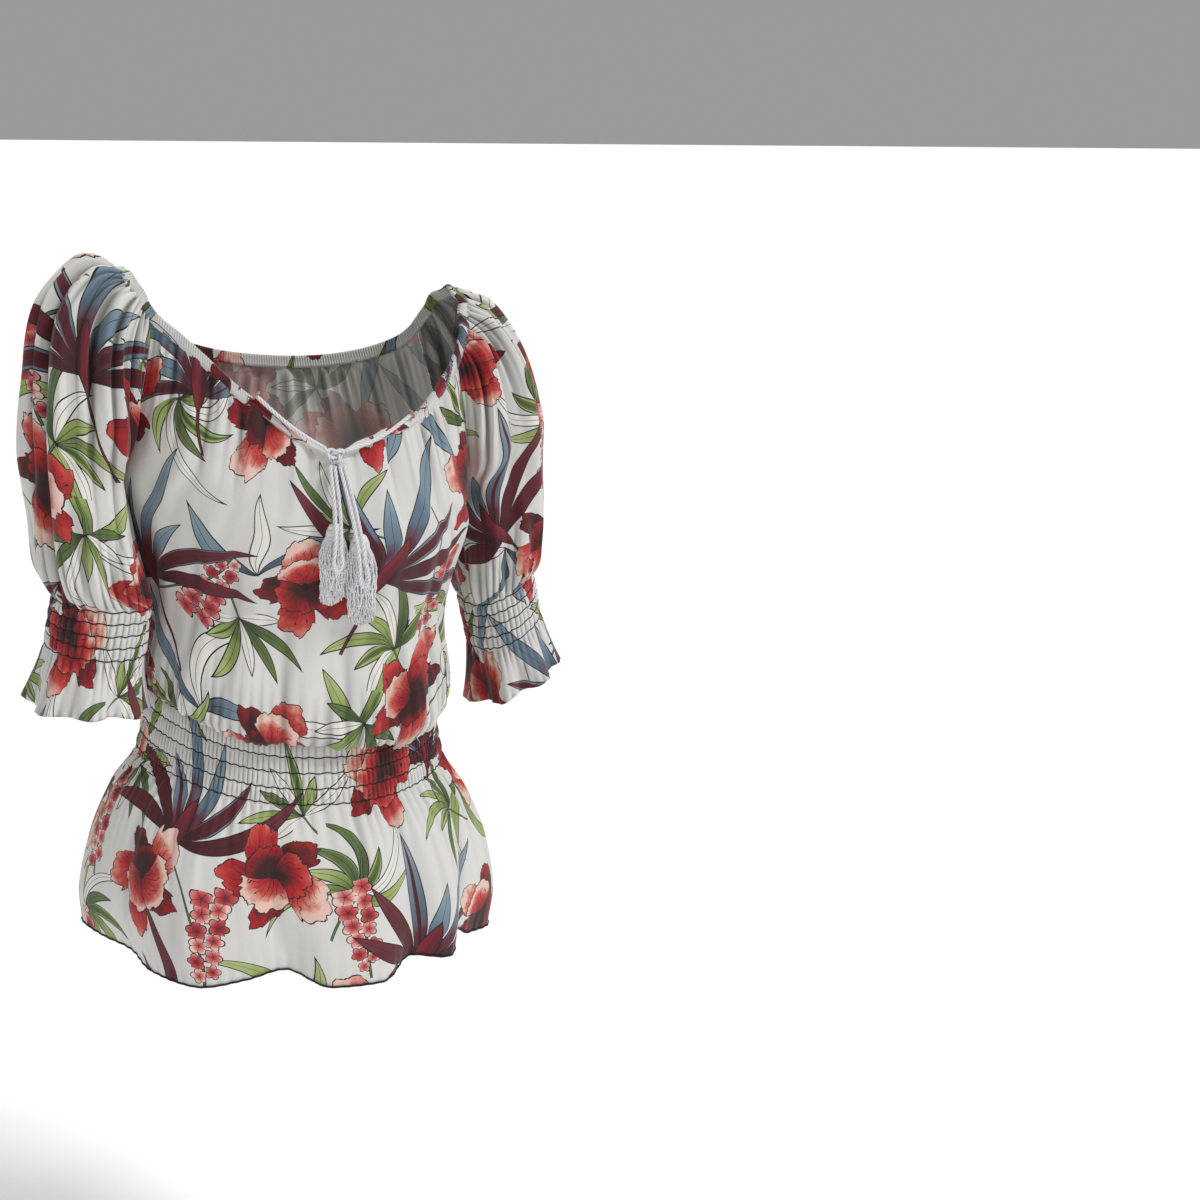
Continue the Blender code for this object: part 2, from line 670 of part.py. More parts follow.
def lying(x, z, clear):
    """Point over the front's plain surface, this far in front of it."""
    wide = read(BODY, BODY_COLUMNS, "half_width", "z", z)
    front = read(BODY, BODY_COLUMNS, "front", "z", z)
    square = read(BODY, BODY_COLUMNS, "square", "z", z)
    y = -front * (1 - np.abs(x / wide) ** square) ** (1 / square) - clear
    return np.array([x, y, z])


def tie(name, front_rows, share, group):
    """One half of the drawstring, from its eyelet to the knot, lying over the V's edge."""
    columns = front_rows.shape[1] - 1
    start = front_rows[-1, round(share * columns)]
    gap = np.array([start[0] - KNOT[0], start[2] - KNOT[1]])
    gap = gap / np.linalg.norm(gap) * (KNOT_RADIUS + 0.0004)
    points = []
    for t in np.linspace(0, 1, 9):
        x = start[0] + (KNOT[0] + gap[0] - start[0]) * t
        z = start[2] + 0.003 + (KNOT[1] + gap[1] - start[2] - 0.003) * t
        clear = EYELET_CLEAR + (KNOT_CLEAR - EYELET_CLEAR) * t
        points.append(lying(x, z - TIE_SWAY * math.sin(math.pi * t), clear))
    return tube(name, even(leaned(points), 0.008), CORD / 2, group)


def strand_loop(name, top_x, low_x, low_z, half_gap, group):
    """A loop of the bow, which hangs from the knot in front of the strands and turns back up."""
    top_z = KNOT[1] - KNOT_HIGH / 2 - 0.0012
    start = CORD_CLEAR + 1.1 * CORD
    sides = []
    for side in (-1, 1):
        run = []
        for share in np.linspace(0, 1, 6):
            x = top_x + (low_x - top_x) * share + side * half_gap * (0.75 + 0.25 * share)
            z = top_z + (low_z + 0.004 - top_z) * share
            run.append(lying(x, z, start + (LOOP_CLEAR - start) * min(1, 1.8 * share)))
        sides.append(run)
    low = [lying(low_x, low_z, LOOP_CLEAR)]
    return tube(name, even(leaned(sides[0] + low + sides[1][::-1]), 0.009), CORD / 2, group)


def end_strand(name, tassel_row, top_x, group):
    """The drawstring's end between the knot and its tassel's head, under the loops."""
    x, top_z = tassel_row[1], tassel_row[3]
    start = KNOT[1] - KNOT_HIGH / 2 - 0.0012
    points = []
    for share in np.linspace(0, 1, 6):
        z = start + (top_z + 0.0004 - start) * share
        clear = CORD_CLEAR + (TASSEL_CLEAR - CORD_CLEAR) * share
        points.append(lying(top_x + (x - top_x) * share, z, clear))
    return tube(name, even(leaned(points), 0.009), CORD / 2, group)


def tassel(name, x, low_x, top_z, radius, high, long, strands, group):
    """A head with strands rooted in it, each a thin three-sided lock."""
    top = leaned(lying(x, top_z, TASSEL_CLEAR))
    low = leaned(lying(low_x, top_z - long, TASSEL_CLEAR))
    hang = (low - top) / long
    hang[2] = -1.0
    rings, sides = 5, 10
    verts, faces = [], []
    for i in range(rings):
        share = i / (rings - 1)
        size = radius * (0.45 + 0.55 * math.sin(math.pi * (0.12 + 0.55 * share)))
        for j in range(sides):
            a = 2 * math.pi * j / sides
            off = np.array([size * math.cos(a), 0.42 * size * math.sin(a), 0.0])
            verts.append(top + off + hang * high * share)
    for i in range(rings - 1):
        for j in range(sides):
            k = (j + 1) % sides
            faces.append((i * sides + j, (i + 1) * sides + j, (i + 1) * sides + k, i * sides + k))
    faces.append(tuple(range(sides)))
    faces.append(tuple(range(rings * sides - 1, (rings - 1) * sides - 1, -1)))
    head = bpy.data.meshes.new(name)
    head.from_pydata([tuple(v) for v in verts], [], faces)
    made = link(name, head, group, "white_cord")
    lock_verts, lock_faces = [], []
    golden = math.pi * (3 - math.sqrt(5))
    for n in range(strands):
        spread = math.sqrt((n + 0.5) / strands)
        a = golden * n
        length = long * (0.93 + 0.07 * math.sin(2.4 * n))
        aside = np.array([math.cos(a), 0.0, 0.0]) * radius * spread
        ahead = np.array([0.0, math.sin(a), 0.0]) * radius * spread
        root = top + 0.72 * aside + 0.25 * ahead + hang * high * 0.8
        tip = top + 1.35 * aside + 0.42 * ahead + hang * length
        mid = 0.5 * (root + tip) + 0.35 * aside + 0.05 * ahead
        base = len(lock_verts)
        for spot, size in ((root, 0.0007), (mid, 0.0011), (tip, 0.0006)):
            for k in range(3):
                b = 2 * math.pi * k / 3 + a
                lock_verts.append(spot + size * np.array([math.cos(b), math.sin(b), 0]))
        for i in range(2):
            for k in range(3):
                m = (k + 1) % 3
                lock_faces.append(
                    (base + 3 * i + k, base + 3 * i + 3 + k, base + 3 * i + 3 + m, base + 3 * i + m)
                )
        lock_faces.append((base, base + 1, base + 2))
        lock_faces.append((base + 8, base + 7, base + 6))
    locks = bpy.data.meshes.new(name + "_locks")
    locks.from_pydata([tuple(v) for v in lock_verts], [], lock_faces)
    return made, bpy.data.objects.new(name + "_locks", locks)


def fuse(made, other, helpers):
    """Joins a helper's shapes into a solid."""
    helpers.objects.link(other)
    other.hide_render = True
    other.display_type = "WIRE"
    union = made.modifiers.new("Locks", "BOOLEAN")
    union.operation = "UNION"
    union.solver = "EXACT"
    union.use_self = True
    union.object = other


def knot(group):
    """The knot of the bow: a lump as wide as the cords that cross in it."""
    mesh = bpy.data.meshes.new("tie_knot")
    centre = leaned(lying(KNOT[0], KNOT[1], KNOT_CLEAR))
    rings, sides = 6, 10
    verts, faces = [], []
    for i in range(rings):
        tilt = math.pi * i / (rings - 1)
        size = KNOT_RADIUS * (0.60 + 0.40 * math.sin(tilt) ** 0.7)
        for j in range(sides):
            a = 2 * math.pi * j / sides
            bump = 1 + 0.05 * math.cos(3 * a + 2 * tilt)
            off = [size * math.cos(a) * bump, 0.42 * size * math.sin(a) * bump]
            verts.append(centre + np.array([*off, KNOT_HIGH / 2 * math.cos(tilt)]))
    for i in range(rings - 1):
        for j in range(sides):
            k = (j + 1) % sides
            faces.append((i * sides + j, (i + 1) * sides + j, (i + 1) * sides + k, i * sides + k))
    faces.append(tuple(range(sides)))
    faces.append(tuple(range(rings * sides - 1, (rings - 1) * sides - 1, -1)))
    mesh.from_pydata([tuple(v) for v in verts], [], faces)
    return link("tie_knot", mesh, group, "white_cord")


def main():
    clear_scene()
    group = bpy.data.collections.new("Peasant blouse")
    helpers = bpy.data.collections.new("Helpers")
    bpy.context.scene.collection.children.link(group)
    bpy.context.scene.collection.children.link(helpers)
    helpers.hide_render = True

    front_rows = panel(FRONT_COLUMNS, 12, True, 12, NECK_DEPTH)
    back_rows = panel(BACK_COLUMNS, 9, False, 10, NECK_DEPTH)
    sheet("bodice_front", seam_shift(front_rows, SEAM), group)
    sheet("bodice_back", seam_shift(back_rows, SEAM), group)

    sleeves = {}
    for side, table, sign in (("right", SLEEVE_RIGHT, -1), ("left", SLEEVE_LEFT, 1)):
        rows = sleeve_grid(table, sign)
        sleeves[sign] = rows
        sheet("sleeve_" + side, seam_shift(rows, SEAM), group, flip=sign < 0)
        cuff("cuff_" + side, table, sign, group)
        ruffle("ruffle_" + side, table, sign, group)

    waistband("waistband_front", True, group)
    waistband("waistband_back", False, group)
    peplum("peplum_front", True, group)
    peplum("peplum_back", False, group)
    casing(front_rows, back_rows, sleeves, group)

    for name, share in EYELETS.items():
        tie(name, front_rows, share, group)
    knot(group)
    for row in LOOPS:
        strand_loop(*row, group)
    for row, loop in zip(TASSELS, LOOPS):
        end_strand(row[0].replace("tassel", "tie_end"), row, loop[1], group)
        made, locks = tassel(*row, group)
        fuse(made, locks, helpers)


main()
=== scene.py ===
"""Peasant blouse: its printed cloth, elastic threads, drawstring and tassels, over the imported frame."""

import math
from functools import lru_cache, partial

import bpy
import numpy as np
from mathutils import Matrix, Vector


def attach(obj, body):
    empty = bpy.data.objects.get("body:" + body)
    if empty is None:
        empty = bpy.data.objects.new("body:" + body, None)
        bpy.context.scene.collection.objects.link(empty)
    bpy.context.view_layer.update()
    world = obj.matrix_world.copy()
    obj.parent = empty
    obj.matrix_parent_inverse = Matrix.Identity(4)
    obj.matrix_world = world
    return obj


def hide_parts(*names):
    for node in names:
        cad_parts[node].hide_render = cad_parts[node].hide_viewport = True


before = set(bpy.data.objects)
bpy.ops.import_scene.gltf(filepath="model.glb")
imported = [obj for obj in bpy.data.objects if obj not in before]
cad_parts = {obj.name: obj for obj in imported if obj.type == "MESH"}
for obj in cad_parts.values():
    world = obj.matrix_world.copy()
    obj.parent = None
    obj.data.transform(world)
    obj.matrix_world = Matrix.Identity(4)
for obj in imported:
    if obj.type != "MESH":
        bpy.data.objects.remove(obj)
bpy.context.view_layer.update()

bl_info = {
    "name": "Peasant blouse",
    "version": (1, 0, 0),
    "blender": (4, 5, 0),
    "location": "3D View > Sidebar > Blouse",
    "description": "Builds the printed cloth, threads, drawstring and tassels of a peasant blouse",
    "category": "Add Mesh",
}

# +Z is up, -Y the front, +X the wearer's left.
LEFTWARD = np.array([1.0, 0.0, 0.0])
FORWARD = np.array([0.0, -1.0, 0.0])
UPWARD = np.array([0.0, 0.0, 1.0])

# Sizes of the cut, in metres, the same as the solids'.
WALL = 0.0012
SEAM = 0.0004
SLOPE = 0.085  # how far the wearer's left side hangs lower, per metre across
BAND_TOP = -0.402
BAND_BOTTOM = -0.478
BAND_CHANNELS = 5  # between the rows of thread
WAIST_LIFT = 0.026  # the band's sides above its front middle
WAIST_LIFT_BACK = 0.4
WAIST_LIFT_FROM = -0.650
WAIST_LIFT_TO = -0.240
UNDERARM = -0.185
RAGLAN_BACK_TOP = -0.037
CASING_HIGH = 0.009
FRONT_GATHERS = 12
BACK_GATHERS = 10
FRONT_ROWS = 12
BACK_ROWS = 9
FRONT_COLUMNS = 36
BACK_COLUMNS = 30
NECK_DEPTH = 0.0035  # of the gathers under the casing
NECK_REACH = 0.16  # how far down they run
NECK_CALM = 0.012  # the stretch next to the casing, where they are shallower
FOLD_OUT = 0.0044  # where the body turns out over the waistband
FOLD_RISE = 0.0005
HANG_START = 0.012  # the height above the band's top at which the body's own rows begin
HANG_REACH = 0.055
HANG_WAVES = 9
HANG_DEPTH = 0.0030
HANG_HIGH = 0.13
SLEEVE_ROWS = 12
SLEEVE_COLUMNS = 30
SLEEVE_ROUND = 0.82  # below 1 the sections are fuller than an oval
SLEEVE_GATHERS = 10
HEAD_DEPTH = 0.0045
ELBOW_DEPTH = 0.0035
PUFF_WAVES = 5
PUFF_DEPTH = 0.004
CUFF_CHANNELS = 4
CUFF_LONG = 0.046
CUFF_ROUND = 0.9
RUFFLE_WAVES = 7
RUFFLE_DEPTH = 0.006
RUFFLE_SWING = 0.003
CORD = 0.0038

# Rings of the body, from the hem up to the shoulders.
BODY_COLUMNS = ("z", "half_width", "front", "back", "square")
BODY = (
    (-0.740, 0.186, 0.150, 0.128, 2.0),
    (-0.645, 0.188, 0.148, 0.126, 2.0),
    (-0.600, 0.196, 0.144, 0.119, 2.05),
    (-0.555, 0.190, 0.134, 0.107, 2.1),
    (-0.512, 0.174, 0.117, 0.091, 2.2),
    (-0.478, 0.149, 0.097, 0.073, 2.3),
    (-0.402, 0.138, 0.093, 0.069, 2.3),
    (-0.365, 0.139, 0.096, 0.069, 2.3),
    (-0.320, 0.142, 0.103, 0.070, 2.3),
    (-0.275, 0.149, 0.114, 0.073, 2.35),
    (-0.232, 0.158, 0.125, 0.080, 2.4),
    (-0.192, 0.165, 0.123, 0.087, 2.4),
    (-0.148, 0.167, 0.111, 0.091, 2.35),
    (-0.100, 0.166, 0.096, 0.090, 2.3),
    (-0.055, 0.164, 0.079, 0.082, 2.3),
    (-0.020, 0.161, 0.064, 0.070, 2.3),
)

# The seam between body and sleeve: degrees in from the side, at front and back.
RAGLAN_COLUMNS = ("z", "front", "back")
RAGLAN = (
    (-0.800, 0.0, 0.0),
    (-0.185, 0.0, 0.0),
    (-0.168, 10.0, 10.0),
    (-0.135, 19.0, 18.0),
    (-0.090, 26.0, 26.0),
    (-0.052, 30.0, 33.0),
    (-0.020, 32.0, 38.0),
)

# Upper edge of the front: share of the way across, from the wearer's left.
NECK_COLUMNS = ("across", "z", "under_casing")
NECK = (
    (0.000, -0.052, 1.0),
    (0.080, -0.064, 1.0),
    (0.170, -0.082, 1.0),
    (0.245, -0.100, 1.0),
    (0.273, -0.104, 0.0),
    (0.360, -0.114, 0.0),
    (0.450, -0.128, 0.0),
    (0.490, -0.136, 0.0),
    (0.530, -0.130, 0.0),
    (0.600, -0.112, 0.0),
    (0.665, -0.094, 0.0),
    (0.693, -0.089, 1.0),
    (0.800, -0.062, 1.0),
    (0.900, -0.042, 1.0),
    (1.000, -0.030, 1.0),
)
EYELETS = {"tie_left": 0.273, "tie_right": 0.665}  # where the cords come out, as shares across
NECK_BACK_DIP = 0.046
FULL_TURN = 360.0001  # degrees, a little more so that 360 reads a table's last row

# How the body hangs over the waistband, by degrees round from the wearer's left side.
BLOUSE_COLUMNS = ("turn", "bulge", "drop")
BLOUSE = (
    (0, 0.012, 0.008),
    (25, 0.015, 0.014),
    (45, 0.020, 0.024),
    (62, 0.022, 0.024),
    (72, 0.018, 0.019),
    (84, 0.020, 0.019),
    (98, 0.016, 0.014),
    (112, 0.020, 0.017),
    (132, 0.018, 0.013),
    (155, 0.014, 0.007),
    (180, 0.012, 0.005),
    (215, 0.017, 0.006),
    (250, 0.010, 0.004),
    (290, 0.010, 0.004),
    (325, 0.018, 0.006),
    (360, 0.012, 0.008),
)

# Folds of the peplum at its hem, all round.
HEM_COLUMNS = ("turn", "out", "z")
HEM = (
    (0, 0.004, -0.632),
    (14, 0.014, -0.636),
    (27, -0.004, -0.634),
    (38, -0.010, -0.622),
    (52, 0.010, -0.630),
    (64, -0.008, -0.626),
    (78, 0.012, -0.637),
    (92, 0.010, -0.638),
    (104, -0.010, -0.628),
    (116, 0.002, -0.636),
    (130, 0.014, -0.644),
    (146, 0.004, -0.644),
    (160, -0.008, -0.638),
    (172, 0.004, -0.634),
    (186, 0.014, -0.632),
    (200, -0.006, -0.630),
    (214, 0.016, -0.632),
    (232, -0.010, -0.632),
    (250, 0.016, -0.638),
    (270, -0.010, -0.638),
    (288, 0.017, -0.642),
    (306, -0.010, -0.636),
    (324, 0.017, -0.636),
    (343, -0.006, -0.632),
    (360, 0.004, -0.632),
)

# Sections of each sleeve. seam is the share of the raglan seam that the section has reached.
SLEEVE_TABLE = (
    "down", "seam", "out_x", "out_y", "out_z", "in_x", "in_y", "in_z", "deep", "closed",
)
SLEEVE_RIGHT = (
    (0.00, 0.00, 0.163, 0.002, 0.000, 0.150, 0.000, -0.050, 0.000, 0.0),
    (0.08, 0.14, 0.181, 0.002, 0.002, 0.150, 0.000, -0.070, 0.004, 0.0),
    (0.18, 0.32, 0.209, 0.002, -0.016, 0.155, 0.000, -0.100, 0.012, 0.1),
    (0.30, 0.55, 0.230, 0.000, -0.052, 0.158, 0.000, -0.130, 0.024, 0.35),
    (0.42, 0.78, 0.239, -0.004, -0.102, 0.162, 0.000, -0.160, 0.040, 0.7),
    (0.55, 1.00, 0.244, -0.010, -0.156, 0.165, 0.000, -0.185, 0.056, 1.0),
    (0.70, 1.00, 0.245, -0.020, -0.206, 0.162, -0.018, -0.230, 0.061, 1.0),
    (0.84, 1.00, 0.244, -0.030, -0.250, 0.155, -0.030, -0.264, 0.058, 1.0),
    (0.94, 1.00, 0.239, -0.036, -0.281, 0.150, -0.038, -0.286, 0.052, 1.0),
    (1.00, 1.00, 0.233, -0.038, -0.293, 0.147, -0.040, -0.295, 0.046, 1.0),
)
SLEEVE_LEFT = (
    (0.00, 0.00, 0.163, 0.002, 0.000, 0.150, 0.000, -0.050, 0.000, 0.0),
    (0.08, 0.14, 0.184, 0.004, -0.008, 0.150, 0.000, -0.070, 0.004, 0.0),
    (0.18, 0.32, 0.208, 0.006, -0.032, 0.155, 0.000, -0.100, 0.012, 0.1),
    (0.30, 0.55, 0.230, 0.008, -0.068, 0.158, 0.000, -0.130, 0.024, 0.35),
    (0.42, 0.78, 0.245, 0.008, -0.106, 0.162, 0.000, -0.160, 0.040, 0.7),
    (0.55, 1.00, 0.250, 0.006, -0.148, 0.165, 0.000, -0.185, 0.055, 1.0),
    (0.70, 1.00, 0.250, 0.002, -0.194, 0.164, -0.002, -0.226, 0.061, 1.0),
    (0.84, 1.00, 0.247, 0.000, -0.226, 0.166, -0.004, -0.264, 0.060, 1.0),
    (0.94, 1.00, 0.244, 0.000, -0.248, 0.170, -0.006, -0.290, 0.056, 1.0),
    (1.00, 1.00, 0.240, 0.000, -0.259, 0.174, -0.006, -0.302, 0.051, 1.0),
)
SLEEVE_LEAN = {-1: 0.17, 1: 0.22}  # how far the end of each sleeve leans out as it goes down

# Each ruffle, from its cuff down.
RUFFLE_TABLE = ("share", "wide", "deep")
RUFFLE = (
    (0.00, 1.00, 1.00),
    (0.33, 1.06, 1.10),
    (0.67, 1.13, 1.22),
    (1.00, 1.20, 1.32),
)
RUFFLE_LONG = {-1: 0.054, 1: 0.050}

# The drawstring: sideways and up from the origin, on the front's own surface.
KNOT = (0.004, -0.138)
KNOT_RADIUS = 0.0095
KNOT_HIGH = 0.0150
UNDER_KNOT = KNOT[1] - KNOT_HIGH / 2 - 0.0012
KNOT_CLEAR = 0.0066  # from the cloth's plain surface to the middle of the knot
EYELET_CLEAR = 0.0044
CORD_CLEAR = 0.0058
TASSEL_CLEAR = 0.0105
LOOP_CLEAR = 0.0190
TIE_SWAY = 0.004
KNOT_SIZE = (0.0027, 0.0020, 0.0022)  # of the knot's curve: across, out and up
PATH_STEP = 0.0009  # between two points of a route
# Each tassel: name, x at its top and its tip, top z, radius and height of its head, and length.
TASSELS = (
    ("tassel_right", -0.002, -0.001, -0.198, 0.0085, 0.014, 0.078),
    ("tassel_left", 0.021, 0.031, -0.208, 0.0100, 0.015, 0.090),
)
# Each loop of the bow: name, x at its top, x and z at its lowest point, and half its width.
LOOPS = (
    ("tie_loop_right", -0.0004, -0.0020, -0.240, 0.0028),
    ("tie_loop_left", 0.0084, 0.0245, -0.254, 0.0028),
)

# Folds of each piece: the line x0, y0, x1, y1 along which each runs, as shares across the piece
# and along its rows, its half width as a share across, and its depth in metres, a ridge if above nothing.
CREASES = {
    "bodice_front": (
        (0.05, 0.16, 0.21, 0.95, 0.020, 0.0035),
        (0.11, 0.12, 0.25, 0.78, 0.016, -0.0035),
        (0.17, 0.13, 0.24, 0.55, 0.016, 0.0030),
        (0.22, 0.10, 0.27, 0.62, 0.013, -0.0030),
        (0.29, 0.12, 0.31, 0.90, 0.018, 0.0026),
        (0.35, 0.10, 0.34, 0.50, 0.014, -0.0034),
        (0.41, 0.12, 0.39, 0.66, 0.015, 0.0030),
        (0.47, 0.10, 0.46, 0.46, 0.012, -0.0030),
        (0.52, 0.11, 0.50, 0.74, 0.017, 0.0028),
        (0.57, 0.10, 0.56, 0.52, 0.013, -0.0034),
        (0.63, 0.12, 0.62, 0.92, 0.018, 0.0030),
        (0.69, 0.10, 0.66, 0.58, 0.013, -0.0032),
        (0.75, 0.12, 0.71, 0.84, 0.017, 0.0030),
        (0.81, 0.11, 0.74, 0.60, 0.014, -0.0036),
        (0.88, 0.13, 0.80, 0.97, 0.020, 0.0034),
        (0.94, 0.14, 0.86, 0.66, 0.015, -0.0030),
        (0.985, 0.30, 0.79, 0.80, 0.016, 0.0022),
        (0.02, 0.32, 0.22, 0.82, 0.016, 0.0022),
    ),
    "bodice_back": (
        (0.08, 0.14, 0.22, 0.96, 0.022, 0.0032),
        (0.15, 0.12, 0.27, 0.80, 0.018, -0.0032),
        (0.24, 0.13, 0.32, 0.98, 0.020, 0.0028),
        (0.31, 0.11, 0.37, 0.70, 0.015, -0.0032),
        (0.39, 0.12, 0.42, 0.97, 0.018, 0.0026),
        (0.46, 0.10, 0.47, 0.60, 0.014, -0.0030),
        (0.54, 0.12, 0.53, 0.96, 0.018, 0.0028),
        (0.61, 0.11, 0.58, 0.72, 0.015, -0.0034),
        (0.69, 0.12, 0.63, 0.98, 0.019, 0.0028),
        (0.77, 0.12, 0.69, 0.76, 0.017, -0.0032),
        (0.85, 0.13, 0.74, 0.96, 0.021, 0.0034),
        (0.93, 0.16, 0.82, 0.62, 0.016, -0.0028),
    ),
    "sleeve_right": (
        (0.16, 0.04, 0.13, 0.44, 0.020, 0.0042),
        (0.24, 0.03, 0.24, 0.38, 0.018, -0.0038),
        (0.33, 0.04, 0.35, 0.47, 0.020, 0.0046),
        (0.43, 0.03, 0.44, 0.35, 0.018, -0.0040),
        (0.52, 0.04, 0.52, 0.50, 0.020, 0.0040),
        (0.62, 0.03, 0.64, 0.37, 0.019, -0.0040),
        (0.72, 0.04, 0.73, 0.45, 0.020, 0.0040),
        (0.83, 0.04, 0.86, 0.40, 0.018, -0.0032),
        (0.10, 0.30, 0.22, 0.60, 0.022, -0.0036),
        (0.30, 0.38, 0.27, 0.62, 0.020, 0.0036),
        (0.45, 0.40, 0.42, 0.62, 0.020, -0.0036),
        (0.60, 0.38, 0.58, 0.62, 0.022, 0.0036),
        (0.78, 0.34, 0.74, 0.61, 0.022, -0.0034),
    ),
    "sleeve_left": (
        (0.14, 0.04, 0.12, 0.42, 0.020, 0.0040),
        (0.22, 0.03, 0.23, 0.40, 0.018, -0.0040),
        (0.31, 0.04, 0.33, 0.46, 0.021, 0.0044),
        (0.41, 0.03, 0.43, 0.36, 0.017, -0.0038),
        (0.50, 0.04, 0.51, 0.48, 0.020, 0.0042),
        (0.60, 0.03, 0.61, 0.38, 0.019, -0.0038),
        (0.70, 0.04, 0.72, 0.46, 0.020, 0.0040),
        (0.81, 0.04, 0.84, 0.38, 0.018, -0.0032),
        (0.08, 0.32, 0.18, 0.61, 0.020, -0.0036),
        (0.27, 0.40, 0.26, 0.62, 0.020, 0.0036),
        (0.40, 0.38, 0.38, 0.61, 0.018, -0.0036),
        (0.56, 0.40, 0.54, 0.62, 0.022, 0.0034),
        (0.74, 0.36, 0.70, 0.60, 0.020, -0.0034),
    ),
    "peplum_front": (
        (0.08, 0.36, 0.06, 0.98, 0.016, 0.0030),
        (0.19, 0.36, 0.21, 0.90, 0.014, -0.0030),
        (0.33, 0.36, 0.31, 0.97, 0.015, 0.0028),
        (0.46, 0.36, 0.48, 0.86, 0.012, 0.0026),
        (0.59, 0.36, 0.58, 0.94, 0.014, -0.0026),
        (0.71, 0.36, 0.73, 0.98, 0.015, 0.0030),
        (0.86, 0.36, 0.88, 0.92, 0.015, -0.0030),
    ),
    "peplum_back": (
        (0.09, 0.36, 0.08, 0.95, 0.016, 0.0030),
        (0.22, 0.36, 0.24, 0.88, 0.014, -0.0028),
        (0.38, 0.36, 0.36, 0.97, 0.015, 0.0028),
        (0.51, 0.36, 0.52, 0.90, 0.013, -0.0028),
        (0.64, 0.36, 0.66, 0.98, 0.015, 0.0030),
        (0.80, 0.36, 0.78, 0.90, 0.014, -0.0028),
        (0.92, 0.36, 0.93, 0.97, 0.015, 0.0028),
    ),
}

# Finer relief of the cloth than the solids have: how many gathers or pipes there are across a piece or
# round a sleeve, their depth in metres, and a seed for how they wander.
NECK_GATHERS = (34, 0.0016, 0.4)
NECK_PIPES = (14, 0.0026, 2.2)
HANG_GATHERS = (44, 0.0016, 1.7)
HANG_PIPES = (15, 0.0030, 0.9)
HEAD_GATHERS = (30, 0.0016, 2.1)
CUFF_PIPES = (34, 0.0020, 0.9)
ELBOW_PIPES = (15, 0.0026, 2.9)
FRILL_PLEATS = (40, 0.0016, 0.6)
FRILL_GATHERS = (11, 0.0018, 1.9)
# The pipes that run down each sleeve from its head: the same, and how far they reach, as a share of it.
SLEEVE_PIPES = {-1: (13, 0.0092, 0.5, 0.95), 1: (10, 0.0076, 1.6, 0.60)}
BODICE_UNEVEN = 0.0006
SLEEVE_FLOOR = -0.0045
FLOOR_EASE = 0.0020
CUFF_TUCKS = 44
CUFF_TUCK_DEPTH = 0.0026
BAND_TUCK_DEPTH = 0.0027
CHANNEL_WANDER = 0.0006  # how unevenly the rows of thread lie
PLEAT_DEPTH = 0.0016
SKIRT_PIPES = 15
SKIRT_PIPE_DEPTH = 0.0026
FRILL_EDGE = (34, 0.0010)  # small waves of each edge, with their depth
HEM_EDGE = (52, 0.0004)

# Points of the shells' grids. Each channel between two rows of thread has the same number of steps.
BODICE_GRID = {True: (201, 118), False: (181, 100)}  # columns and rows of the front and of the back
SLEEVE_POINTS = 261
PUFF_STEPS = 58
CUFF_STEPS = 8
FRILL_STEPS = 18
PEPLUM_POINTS = 481
BAND_STEPS = 9
SKIRT_STEPS = 32
CASING_POINTS = 1681
EDGE_POINTS = 200

# How often a cloth's normals are evened out before its relief is pushed out along them.
BODICE_CALM = 40
SLEEVE_CALM = 60

# Fullness: the width of the flat cloth over the width that its gathers leave.
BODY_FULL = 1.03
PUFF_FULL = 1.06
CUFF_FULL = 1.55
FRILL_FULL = 1.25
PUFF_TURN = 16  # rows over which the sleeve goes from one to the next
HALF_PEPLUM = 0.58  # metres of cloth in each half of the peplum

# The print: one repeat of the cloth, in metres, and the motifs that are spread over it. Each has its kind,
# their number, the smallest and largest size in millimetres, the two turns in degrees that it is drawn
# between and the share of them that point down. Then come, as shares of its size, how far its middle lies
# ahead of its root, and how much room it keeps from its own kind and from any other.
REPEAT = np.array([0.560, 0.660])
MOTIFS = (
    ("bloom", 13, 54, 64, -30, 120, 0.0, 0.00, 1.02, 0.92),
    ("burst", 6, 138, 168, 60, 120, 0.0, 0.40, 0.62, 0.42),
    ("spray", 15, 78, 96, 20, 160, 0.3, 0.40, 0.60, 0.42),
    ("leaf", 8, 112, 138, 40, 140, 0.3, 0.45, 0.58, 0.36),
    ("spike", 7, 92, 112, 60, 120, 0.5, 0.50, 0.56, 0.36),
)
MOTIF_SQUASH = {"bloom": (0.8, 1.0), "spray": (0.85, 0.85)}
PRINT_SEED = 11
PRINT_STARTS = 60  # sets of first places that are drawn, of which one is used
PRINT_START = 36
SPREAD_STEPS = 1200
SPREAD_PUSH = 0.25
OWN_PUSH = 2  # how much harder a motif is pushed from its own kind
OWN_GAP = 4  # millimetres more between two of a kind
OTHER_GAP = 1.02
FAR_OFF = 1e6
MOTIF_MIDDLE = {row[0]: row[7] for row in MOTIFS}
GOLDEN_SHARE = 0.618034  # spreads the seeds of neighbouring motifs from 0 to 1
SEED_APART = 9.0
# Each kind of fan: blades to a full turn, its spread as a share of a turn, a blade's half width as a share
# of the fan's size, its curl, and the share of blades that are only drawn in outline.
FANS = {
    "leaf": (6, 0.17, 0.062, 0.40, 0.12),
    "spray": (12, 0.25, 0.072, 0.40, 0.20),
    "burst": (14, 0.215, 0.056, 0.22, 0.0),
}
# Each stem: its colour, how far back it runs from the root, and half its width.
STEMS = {
    "spray": ("#5A7440", 0.50, 0.012),
    "burst": ("#6B1A2A", 0.50, 0.009),
    "spike": ("#4E6B3A", 1.25, 0.010),
}
